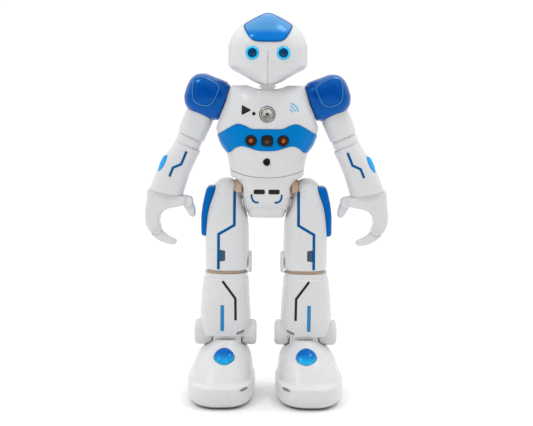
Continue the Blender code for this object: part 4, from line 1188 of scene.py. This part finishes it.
def make_forearm():
    rows = [
        (3.4, -9.5, 9.2, 9.4, 2.4),
        (8.0, -9.2, 9.7, 9.9, 2.4),
        (18.0, -8.8, 11.9, 10.6, 2.4),
        (31.0, -9.8, 12.8, 10.6, 2.4),
        (50.0, -11.6, 11.6, 9.4, 2.4),
    ]
    solid = limb_stack(ELBOW, ARM_OUT, ARM_DOWN, rows, 44, 0.5)
    outer = duplicate(solid)
    join(solid, elbow_drum(0))
    cut(solid, rod(ELBOW - ARM_OUT * 3.5, ELBOW + ARM_OUT * 3.5, 6.0 + 2 * GAP), elbow_slot())
    cut(solid, turned(WRIST - HAND_DOWN * LINE_GAP, HAND_DOWN, [(0, 40), (40, 40)], 8))
    cut(solid, rod(WRIST - HAND_DOWN * 7.5, WRIST + HAND_DOWN, 4.0 + GAP))
    lean = math.radians(38)
    facing = ARM_OUT * math.cos(lean) - REARWARD * math.sin(lean)
    across_badge = ARM_OUT * math.sin(lean) + REARWARD * math.cos(lean)
    badge_at = ELBOW + ARM_DOWN * 20.6 + ARM_OUT * 10.4 - REARWARD * 5.6
    rows = [(-1.6, 6.0, 2.7), (0.4, 6.0, 2.7), (0.9, 5.8, 2.5), (1.2, 5.2, 2.0), (1.3, 3.0, 1.1)]
    rings = []
    for depth, long, wide in rows:
        a, b = oval(long, wide, 2.0, SMALL)
        rings.append(tilted(badge_at + facing * depth, a, ARM_DOWN, b, across_badge))
    badge = loft(rings)
    cut(solid, offset(badge, GAP))
    both_sides(badge, "arm_badge", "forearm", "badge_blue", "forearm_badge")
    zigzag = [(54.5, 171.5), (58.0, 162.9), (63.5, 160.5), (66.0, 154.5)]
    line = inlay(solid, outer, ribbon(zigzag, 1.5), AHEAD, 0, 0.08, 0.8, LINE_GAP)
    both_sides(line, "arm_line", "forearm", "line_blue")
    discard(outer)
    both_sides(solid, "arm_lower", "forearm", "white_plastic", "forearm")


# ---- Hands -------------------------------------------------------------------------------


def knuckle(centre, radius, low, high):
    return rod((centre.x, WRIST.y + low, centre.z), (centre.x, WRIST.y + high, centre.z), radius)


def make_hand():
    y = WRIST.y
    outline = [(80.4, 146.2), (68.4, 144.6), (56.2, 141.8), (55.0, 137.6), (57.2, 134.0), (62.5, 132.8)]
    outline += [(67.6, 131.6), (71.0, 129.4), (73.0, 126.2), (73.6, 122.0), (73.1, 118.6), (76.0, 117.0)]
    outline += [(79.6, 115.6), (82.0, 118.8), (83.3, 123.4), (83.4, 129.0), (82.4, 138.0)]
    palm = pillow_slab(flowing_loop(outline, 5), y - 7.5, y + 7.5, 2.4, 3.0)
    body = duplicate(palm)
    cut(palm, turned(WRIST, HAND_DOWN, [(-40, 60), (0, 60)], 8))
    slot_half = 2.2 + GAP
    for centre in (FINGER_PIVOT, THUMB_PIVOT):
        join(palm, knuckle(centre, KNUCKLE, -5.7, 5.7))
        cut(palm, knuckle(centre, KNUCKLE + GAP, -slot_half, slot_half))
    tip_slot = [(72.0, 119.0), (79.6, 119.4), (84, 113), (76, 106), (66, 112)]
    thumb_slot = [(52.6, 141.5), (46, 141), (46, 128), (56.4, 128), (57.8, 136.6)]
    for slot in (tip_slot, thumb_slot):
        cut(palm, slab(slot, y - slot_half, y + slot_half))
    join(palm, rod(WRIST - HAND_DOWN * 6.5, WRIST + HAND_DOWN * 3, 4.0))
    both_sides(palm, "hand_palm", "hand", "white_plastic", "palm")
    tip = [(79.2, 115.4), (78.2, 112.8), (73.6, 109.4), (68.6, 107.4), (63.8, 106.8), (62.0, 108.0)]
    tip += [(62.8, 109.7), (66.8, 111.6), (70.0, 113.8), (72.2, 116.2), (75.6, 117.4)]
    make_digit("fingertip", tip, FINGER_PIVOT, 6.0, 1.35, 2.4, body)
    thumb = [(57.2, 134.4), (54.6, 129.6), (52.4, 126.6), (50.4, 126.0), (49.1, 127.4), (49.2, 131.4)]
    thumb += [(50.8, 136.2), (53.4, 139.2), (56.0, 137.6)]
    make_digit("thumb", thumb, THUMB_PIVOT, 4.6, 1.5, 2.2)


def make_digit(name, outline, centre, half, edge, depth, palm=None):
    """A finger piece whose narrow root turns between a knuckle's cheeks, clear of any palm given."""
    y = WRIST.y
    digit = pillow_slab(flowing_loop(outline, 5), y - half, y + half, edge, depth)
    cut(digit, knuckle(centre, KNUCKLE + LINE_GAP, -10, 10))
    if palm:
        for degrees in FINGERTIP_SWEEP:
            cut(digit, swung(duplicate(palm), (centre.x, y, centre.z), "Y", degrees))
        discard(palm)
    root = knuckle(centre, KNUCKLE, -2.2, 2.2)
    inner = sum((Vector((x, 0, z)) for x, z in outline), Vector()) / len(outline)
    away = Vector((inner.x - centre.x, 0, inner.z - centre.z)).normalized()
    side = Vector((away.z, 0, -away.x))
    bridge = []
    for along in (0.5, 6.0):
        corners = ((-2, -2.2), (2, -2.2), (2, 2.2), (-2, 2.2))
        bridge.append([centre + away * along + side * a + REARWARD * b for a, b in corners])
    join(root, loft(bridge))
    join(digit, root)
    both_sides(digit, f"hand_{name}", name, "white_plastic", name)


# ---- Legs --------------------------------------------------------------------------------


def thigh_rows():
    centre_x, dome_x, dome = 27.5, 9.9, 10.6
    rows = []
    for degrees in (87, 76, 62, 48, 34, 20, 8):
        angle = math.radians(degrees)
        half_x, half_y = dome_x * math.cos(angle), dome * math.cos(angle)
        z = HIP.z + dome * math.sin(angle)
        rows.append((z, centre_x - half_x, centre_x + half_x, LEG_Y - half_y, LEG_Y + half_y, 2.0))
    lower = [
        (133.0, 15.6, 40.2, 14.0, 14.0, 2.3),
        (126.0, 12.9, 41.4, 15.4, 15.4, 2.4),
        (114.0, 12.0, 42.2, 16.0, 16.4, 2.5),
        (90.3, 11.8, 42.1, 15.6, 16.0, 2.6),
    ]
    return (rows + about_leg(lower))[::-1]


def about_leg(rows):
    """Level rows whose front and rear are given as distances from the leg's own plane."""
    return [(z, x0, x1, LEG_Y - ahead, LEG_Y + behind, power) for z, x0, x1, ahead, behind, power in rows]


def shrunk(rows, wall):
    """Level rows moved in by wall all round."""
    return [(z, a + wall, b - wall, c + wall, d - wall, power) for z, a, b, c, d, power in rows]


def hollow_rows(rows, lowest):
    """Rows of a shell's hollow, which starts below the shell and leaves it open there."""
    inside = shrunk(rows, WALL)
    return [(lowest, *inside[0][1:])] + inside


def across_leg(z, near, far, radius, count=64):
    return across(near, far, LEG_Y, z, radius, count)


def fin_solid(grow=0.0):
    rows = [
        (112.9 - grow, 39.8, 44.2, 5.0),
        (114.6, 39.8, 45.2, 6.6),
        (124.0, 39.4, 45.2, 7.0),
        (132.0, 38.6, 44.5, 7.0),
        (140.0, 36.2, 43.0, 7.0),
        (146.0, 34.4, 41.2, 6.6),
        (147.5 + grow, 34.4, 39.6, 5.0),
    ]
    table = about_leg([(z, x0, x1, half_y, half_y, 3.0) for z, x0, x1, half_y in rows])
    eased = 0 if grow else 0.5
    return level_stack(table, 24, eased, eased, SMALL, grow)


def leg_line(shell, outer, points, width, name, body, look, rise=0.08):
    line = inlay(shell, outer, ribbon(points, width), LEG_AHEAD, -2, rise, 0.9, LINE_GAP)
    both_sides(line, name, body, look)


def make_thigh():
    rows = thigh_rows()
    outer = level_stack(rows, 60, 0.9)
    shell = duplicate(outer)
    hollow = [row for row in hollow_rows(rows, 70.0) if row[2] - row[1] > 4]
    cut(shell, level_stack(hollow, 40))
    cut(shell, barrel(0.7))
    cut(shell, across_leg(HIP.z, 0, 24.5, HIP_STUB + GAP, SMALL))
    # behind the knee the shell is cut back, so that the shin can fold up to it
    slope = math.radians(34)
    away = Vector((0, math.cos(slope), math.sin(slope)))
    normal = Vector((0, math.sin(slope), -math.cos(slope)))
    start = Vector((0, LEG_Y, KNEE.z)) + normal * 5.3 - away * 6
    outline = [start, start + away * 66, start + away * 66 + normal * 60, start + normal * 60]
    cut(shell, loft([[(x, p.y, p.z) for p in outline] for x in (-60, 60)]))
    cut(shell, across_leg(KNEE.z, 5, 48, KNEE_PIN + GAP, SMALL))
    cut(shell, across_leg(KNEE.z, 5, 12.6, KNEE_BOSS + GAP))
    cut(shell, fin_solid(GAP))
    front, rear = split_at(shell, LEG_Y)
    bend = [(21.8, 144.6), (21.8, 122.0), (32.4, 115.8), (32.5, 91.4)]
    leg_line(front, outer, bend, 1.7, "thigh_line", "thigh", "line_blue")
    window = rounded([(31.5, 105.0), (28.0, 104.4), (28.0, 97.6), (31.5, 97.0)], 0.5)
    pane = inlay(front, outer, window, LEG_AHEAD, -2, -0.2, 1.2, 0.1)
    both_sides(pane, "thigh_window", "thigh", "window_blue")
    both_sides(front, "thigh_shell_front", "thigh", "white_plastic", "thigh_front")
    both_sides(rear, "thigh_shell_rear", "thigh", "white_plastic", "thigh_rear")
    both_sides(fin_solid(), "thigh_blade", "thigh", "blue_plastic", "thigh_fin")
    pin = [(9.8, 6.4), (10.0, 6.9), (10.5, 7.5), (10.9, KNEE_BOSS), (12.2, KNEE_BOSS)]
    boss = round_leg(KNEE.z, pin + [(12.2, KNEE_PIN), (38.5, KNEE_PIN)])
    cut(boss, round_leg(KNEE.z, [(5, 3.4), (10.6, 3.4)], SMALL))
    join(boss, round_leg(KNEE.z, [(10.0, 1.6), (10.2, 2.1), (11.5, 2.1)], SMALL))
    both_sides(boss, "knee_boss", "thigh", "white_plastic", "knee_pin")
    discard(outer)


def shin_rows():
    rows = [
        (44.0, 11.9, 44.2, 15.0, 14.6, 2.5),
        (48.0, 11.0, 45.1, 15.8, 15.8, 2.5),
        (56.0, 10.4, 45.8, 16.4, 17.2, 2.5),
        (70.0, 11.2, 45.0, 16.4, 18.0, 2.5),
        (83.6, 12.2, 43.2, 16.2, 16.4, 2.6),
        (84.6, 12.9, 42.5, 15.5, 15.7, 2.6),
        (88.0, 12.6, 42.6, 15.6, 15.6, 2.6),
    ]
    return about_leg(rows)


def lobe(inner, outer):
    """An ankle lobe, round about the ankle's axis; its outer end is the more eased."""
    way = math.copysign(1, outer - inner)
    rows = [(inner + way * step, radius) for step, radius in ((0, 8.2), (0.5, 8.7), (1.1, ANKLE_LOBE))]
    ends = ((2.2, ANKLE_LOBE), (1.0, 8.4), (0.3, 7.6), (0, 6.4))
    rows += [(outer - way * step, radius) for step, radius in ends]
    return round_leg(ANKLE.z, sorted(rows))


def make_shin():
    rows = shin_rows()
    outer = level_stack(rows, 70, 0.8, 0.9)
    shell = duplicate(outer)
    hollow = hollow_rows(rows, 30.0)[:-1]
    hollow[-1] = (85.6, *hollow[-1][1:])
    cut(shell, level_stack(hollow, 40))
    join(shell, lobe(*OUTER_LOBE), lobe(*INNER_LOBE[::-1]))
    cut(shell, across_leg(ANKLE.z, INNER_LOBE[1], OUTER_LOBE[0], ANKLE_DRUM + GAP))
    for degrees in ANKLE_SWEEP:
        foot = level_stack(foot_rows(), 40, 0.6, grow=0.15)
        cut(foot, across_leg(ANKLE.z, -2, 16.9, 14.2), across_leg(ANKLE.z, 36.2, 60, 14.2))
        cut(shell, leg_swung(foot, ANKLE.z, degrees))
    join(shell, block((20, LEG_Y - 5.5, 85), (33, LEG_Y + 5.5, KNEE.z)))
    join(shell, across_leg(KNEE.z, 20, 33, 6.6))
    cut(shell, across_leg(KNEE.z, 12, 40, KNEE_PIN + GAP, SMALL))
    cut(shell, across_leg(ANKLE.z, 4, 47, ANKLE_PIN + GAP, SMALL))
    front, rear = split_at(shell, LEG_Y)
    leg_line(front, outer, [(29.7, 66.8), (29.7, 48.6)], 2.2, "shin_line_blue", "shin", "pale_line")
    dark = [(29.6, 83.4), (25.2, 77.4), (20.8, 71.2), (20.6, 56.0)]
    leg_line(front, outer, dark, 1.5, "shin_line_dark", "shin", "black_plastic", -0.1)
    # a tan plate under the knee gap: painted shade, the warm shadow seen in the gap
    *_, low, high = shrunk(rows, 1.5)
    seal = level_stack([(87.4, *low[1:]), (90.0, *high[1:])], 12)
    cut(seal, block((0, LEG_Y - 5.8, 80), (60, 40, 100)), duplicate(front))
    both_sides(seal, "knee_gap_shade", "shin", "tan_seal")
    # the notch's grey fill is painted shade, the shadow in a small dimple
    notch = rounded([(20.0, 45.4), (15.0, 47.2), (14.6, 48.9), (19.6, 47.4)], 0.6)
    pane = inlay(front, outer, notch, LEG_AHEAD, -2, -0.5, 1.4, 0.1)
    both_sides(pane, "shin_notch_shade", "shin", "notch_grey")
    both_sides(front, "shin_shell_front", "shin", "white_plastic", "shin_front")
    both_sides(rear, "shin_shell_rear", "shin", "white_plastic", "shin_rear")
    discard(outer)


def foot_rows():
    return [
        (2.0, 9.6, 51.2, -36.4, 36.6, 2.7),
        (3.2, 8.5, 52.3, -37.6, 37.8, 2.7),
        (9.0, 7.1, 53.9, -39.4, 39.4, 2.7),
        (13.6, 7.1, 53.8, -39.2, 39.3, 2.7),
        (15.2, 7.4, 53.5, -38.4, 39.1, 2.7),
        (15.9, 7.9, 52.9, -37.2, 38.8, 2.7),
        (16.5, 8.5, 52.1, -35.4, 38.4, 2.7),
        (21.0, 8.9, 50.8, -31.6, 37.2, 2.7),
        (28.0, 9.9, 48.0, -25.8, 33.4, 2.6),
        (35.2, 13.6, 42.4, -17.6, 26.4, 2.5),
        (38.6, 16.2, 38.6, -14.0, 22.0, 2.5),
        (41.8, 17.0, 36.4, -10.4, 17.6, 2.5),
    ]


INSTEP_SLOPE = Vector((0, 0.744, 0.668))
INSTEP_NORMAL = Vector((0, -0.668, 0.744))
GEM_CENTRE = Vector((28.0, -20.6, 33.2))


def gem_ring(depth, wide, long):
    a, b = oval(wide, long, 1.8, SMALL)
    return tilted(GEM_CENTRE + INSTEP_NORMAL * depth, a, ACROSS, b, INSTEP_SLOPE)


def make_foot():
    rows = foot_rows()
    shell = level_stack(rows, 64, 0.6)
    outer = duplicate(shell)
    cut(shell, level_stack(hollow_rows(rows, -5.0)[:-2], 40))
    drum = across_leg(ANKLE.z, 16.9, 36.2, ANKLE_DRUM)
    join(shell, cut(drum, across_leg(ANKLE.z, 16.8, 36.3, 8.6)))
    for near, far in ((OUTER_LOBE[0], OUTER_LOBE[1] + 12), (INNER_LOBE[0], INNER_LOBE[1] + GAP)):
        cut(shell, across_leg(ANKLE.z, near - GAP, far, ANKLE_LOBE + 2 * GAP))
    cut(shell, across_leg(ANKLE.z, INNER_LOBE[0], OUTER_LOBE[1], ANKLE_PIN + GAP, SMALL))
    gem_rows = [(-2.4, 6.9, 6.7), (0.2, 6.9, 6.7), (0.7, 6.6, 6.4), (1.1, 5.8, 5.6)]
    gem_rows += [(1.7, 4.0, 3.9), (1.95, 2.0, 2.0)]
    gem = loft([gem_ring(*row) for row in gem_rows])
    cut(shell, offset(gem, GAP))
    both_sides(gem, "foot_jewel", "foot", "gem_blue", "foot_gem")
    # the notch's grey fill is painted shade, the shadow in a small dimple
    a, b = oval(2.5, 0.95, 2.0, SMALL)
    hole = np.column_stack((14.4 + a, 13.6 + b - 0.08 * a))
    pane = inlay(shell, outer, hole, LEG_AHEAD, -20, -0.5, 1.8, 0.1)
    both_sides(pane, "foot_notch_shade", "foot", "notch_grey")
    discard(outer)
    both_sides(shell, "foot_upper", "foot", "white_plastic", "foot_shell")
    make_sole()


def make_sole():
    """The grey sole, with wheel slots, bearing posts and the rubber skid under the toes."""
    rows = [
        (1.0, 11.8, 49.0, -34.4, 34.6, 2.7),
        (1.9, 11.3, 49.5, -34.9, 35.1, 2.7),
        (5.0, 11.2, 49.6, -34.8, 35.0, 2.7),
    ]
    sole = level_stack(rows, 14)
    for x in WHEELS_X:
        cut(sole, block((x - 3.5, WHEELS.y - 7.6, -2), (x + 3.5, WHEELS.y + 7.6, 12)))
    for x in (23.5, 35.5):
        join(sole, block((x - 1.2, WHEELS.y - 4, 3), (x + 1.2, WHEELS.y + 4, 11)))
    cut(sole, across(12, 47, WHEELS.y, WHEELS.z, 1.6 + GAP))
    skid_x, skid_y = middle("left_skid_pad").x, middle("left_skid_pad").y
    rings = []
    skid_rows = [(0.0, 11.0, 5.5), (0.15, 11.5, 6.0), (0.5, 11.9, 6.4), (0.9, 12.0, 6.5)]
    for z, half_x, half_y in skid_rows + [(3.4, 12.0, 6.5)]:
        a, b = oval(half_x, half_y, 5.0)
        rings.append(np.column_stack((skid_x + a, skid_y + b, np.full(FINE, z))))
    pad = loft(rings)
    cut(sole, offset(pad, GAP))
    for step in (-3.0, 0.0, 3.0):
        y = skid_y + step
        cut(pad, block((skid_x - 9, y - 0.4, -1), (skid_x + 9, y + 0.4, 0.6)))
    both_sides(pad, "foot_skid", "foot", "rubber", "skid_pad")
    both_sides(sole, "foot_sole", "foot", "sole_grey", "sole_plate")


def make_wheels():
    """Two treaded tyres on one axle, lowest at the floor."""
    treads, count = 22, 176
    angle = 2 * math.pi * (np.arange(count) + 0.5) / count
    tread = np.where(np.cos(angle * treads) > -0.35, 1.0, 0.0)
    radius = WHEELS.z
    pieces = []
    half = [(2.5, radius - 0.8, 0.0), (2.1, radius - 0.2, 0.3), (1.6, radius, 0.45)]
    rows = [(-along, size, groove) for along, size, groove in half] + half[::-1]
    for x in WHEELS_X:
        rings = []
        for along, size, groove in rows:
            reach = size - groove * (1 - tread)
            y, z = WHEELS.y + reach * np.cos(angle), WHEELS.z + reach * np.sin(angle)
            rings.append(np.column_stack((np.full(count, x + along), y, z)))
        tyre = loft(rings)
        for side in (-1, 1):
            cut(tyre, across(x + side * 2.0, x + side * 4.0, WHEELS.y, WHEELS.z, 4.6))
        pieces.append(tyre)
    axle = across(16.2, 42.8, WHEELS.y, WHEELS.z, 1.6)
    join(axle, *pieces)
    both_sides(axle, "foot_wheels", "wheels", "rubber", "drive_wheels")


# ---- Stage -------------------------------------------------------------------------------


def placed(name, data):
    """An object of the stage, in the scene."""
    obj = bpy.data.objects.new(name, data)
    bpy.context.scene.collection.objects.link(obj)
    return obj


def make_floor():
    mesh = bpy.data.meshes.new("floor")
    corners = [(x * FLOOR_HALF, y * FLOOR_HALF, 0) for x, y in ((-1, -1), (1, -1), (1, 1), (-1, 1))]
    mesh.from_pydata(corners, [], [(0, 1, 2, 3)])
    s = Surface("floor_white")
    cloud = s.spread(s.noise(3, 3), 0.3, 0.7, 0.0, 1.0)
    tone = s.mix(cloud, (0.90, 0.90, 0.895, 1.0), (0.92, 0.92, 0.915, 1.0))
    s.feed(s.shader.inputs["Base Color"], tone)
    s.feed(s.shader.inputs["Roughness"], s.spread(s.noise(8, 4), 0.3, 0.7, 0.5, 0.62))
    mesh.materials.append(s.material)
    placed("floor", mesh)


def area_light(name, place, target, size, power):
    light = bpy.data.lights.new(name, "AREA")
    light.shape = "RECTANGLE"
    light.size, light.size_y = size
    light.energy = power
    lamp = placed(name, light)
    lamp.location = place
    lamp.rotation_euler = (Vector(target) - Vector(place)).to_track_quat("-Z", "Y").to_euler()


def make_studio():
    """A bright tent, strongest overhead and at the sides, with two soft boxes for the highlights."""
    world = bpy.data.worlds.new("studio")
    world.use_nodes = True
    n = Nodes(world.node_tree)
    axes = n.node("SeparateXYZ", Vector=n.node("TexCoord").outputs["Generated"]).outputs
    level = TENT_FRONT
    for axis, power, amount in ((0, 2.0, TENT_SIDES), (1, 1.0, TENT_BACK), (2, 1.5, TENT_TOP)):
        rise = n.math("ABSOLUTE" if axis == 0 else "MAXIMUM", axes[axis], 0.0)
        level = n.math("MULTIPLY_ADD", n.math("POWER", rise, power), amount, level)
    lit = n.tree.nodes["Background"]
    lit.inputs["Color"].default_value = (1.0, 0.995, 0.985, 1.0)
    n.feed(lit.inputs["Strength"], level)
    backdrop = n.node("Background", Color=(1.0, 1.0, 1.0, 1.0), Strength=BACKDROP)
    seen = n.node("LightPath").outputs["Is Camera Ray"]
    choice = n.node("MixShader")
    for socket, value in zip(choice.inputs, (seen, lit.outputs[0], backdrop.outputs[0])):
        n.feed(socket, value)
    n.feed(n.tree.nodes["World Output"].inputs["Surface"], choice.outputs[0])
    scene = bpy.context.scene
    scene.world = world
    scene.view_settings.view_transform = "Standard"
    area_light("key", (-0.5, -0.55, 0.95), (0, 0, 0.14), (0.2, 0.2), 1.5)
    area_light("top", (0.3, -0.1, 1.0), (0, 0, 0.1), (0.3, 0.2), 1.2)


def make_camera():
    data = bpy.data.cameras.new("camera")
    data.lens, data.sensor_width = LENS, SENSOR_WIDTH
    camera = placed("camera", data)
    camera.location = CAMERA_PLACE
    tilt = Matrix.Rotation(math.radians(90 - CAMERA_DOWN), 4, "X")
    roll = Matrix.Rotation(math.radians(CAMERA_ROLL), 4, "Z")
    camera.rotation_euler = (tilt @ roll).to_euler()
    bpy.context.scene.camera = camera


def finish_carried_nodes():
    """Materials for the CAD nodes that stay as they are, inside the body and the ankles."""
    inside = {"battery_pack": "cell_wrap", "circuit_board": "board_green"}
    inside.update({f"{word}_ankle_pin": "steel" for word in ("left", "right")})
    for node, look in inside.items():
        obj = frame["nodes"][node]
        for slot in obj.material_slots:
            slot.material = looks[look]


make_camera()
make_floor()
make_studio()
make_head()
make_torso()
make_pad()
make_upper_arm()
make_forearm()
make_hand()
make_thigh()
make_shin()
make_foot()
make_wheels()
finish_carried_nodes()
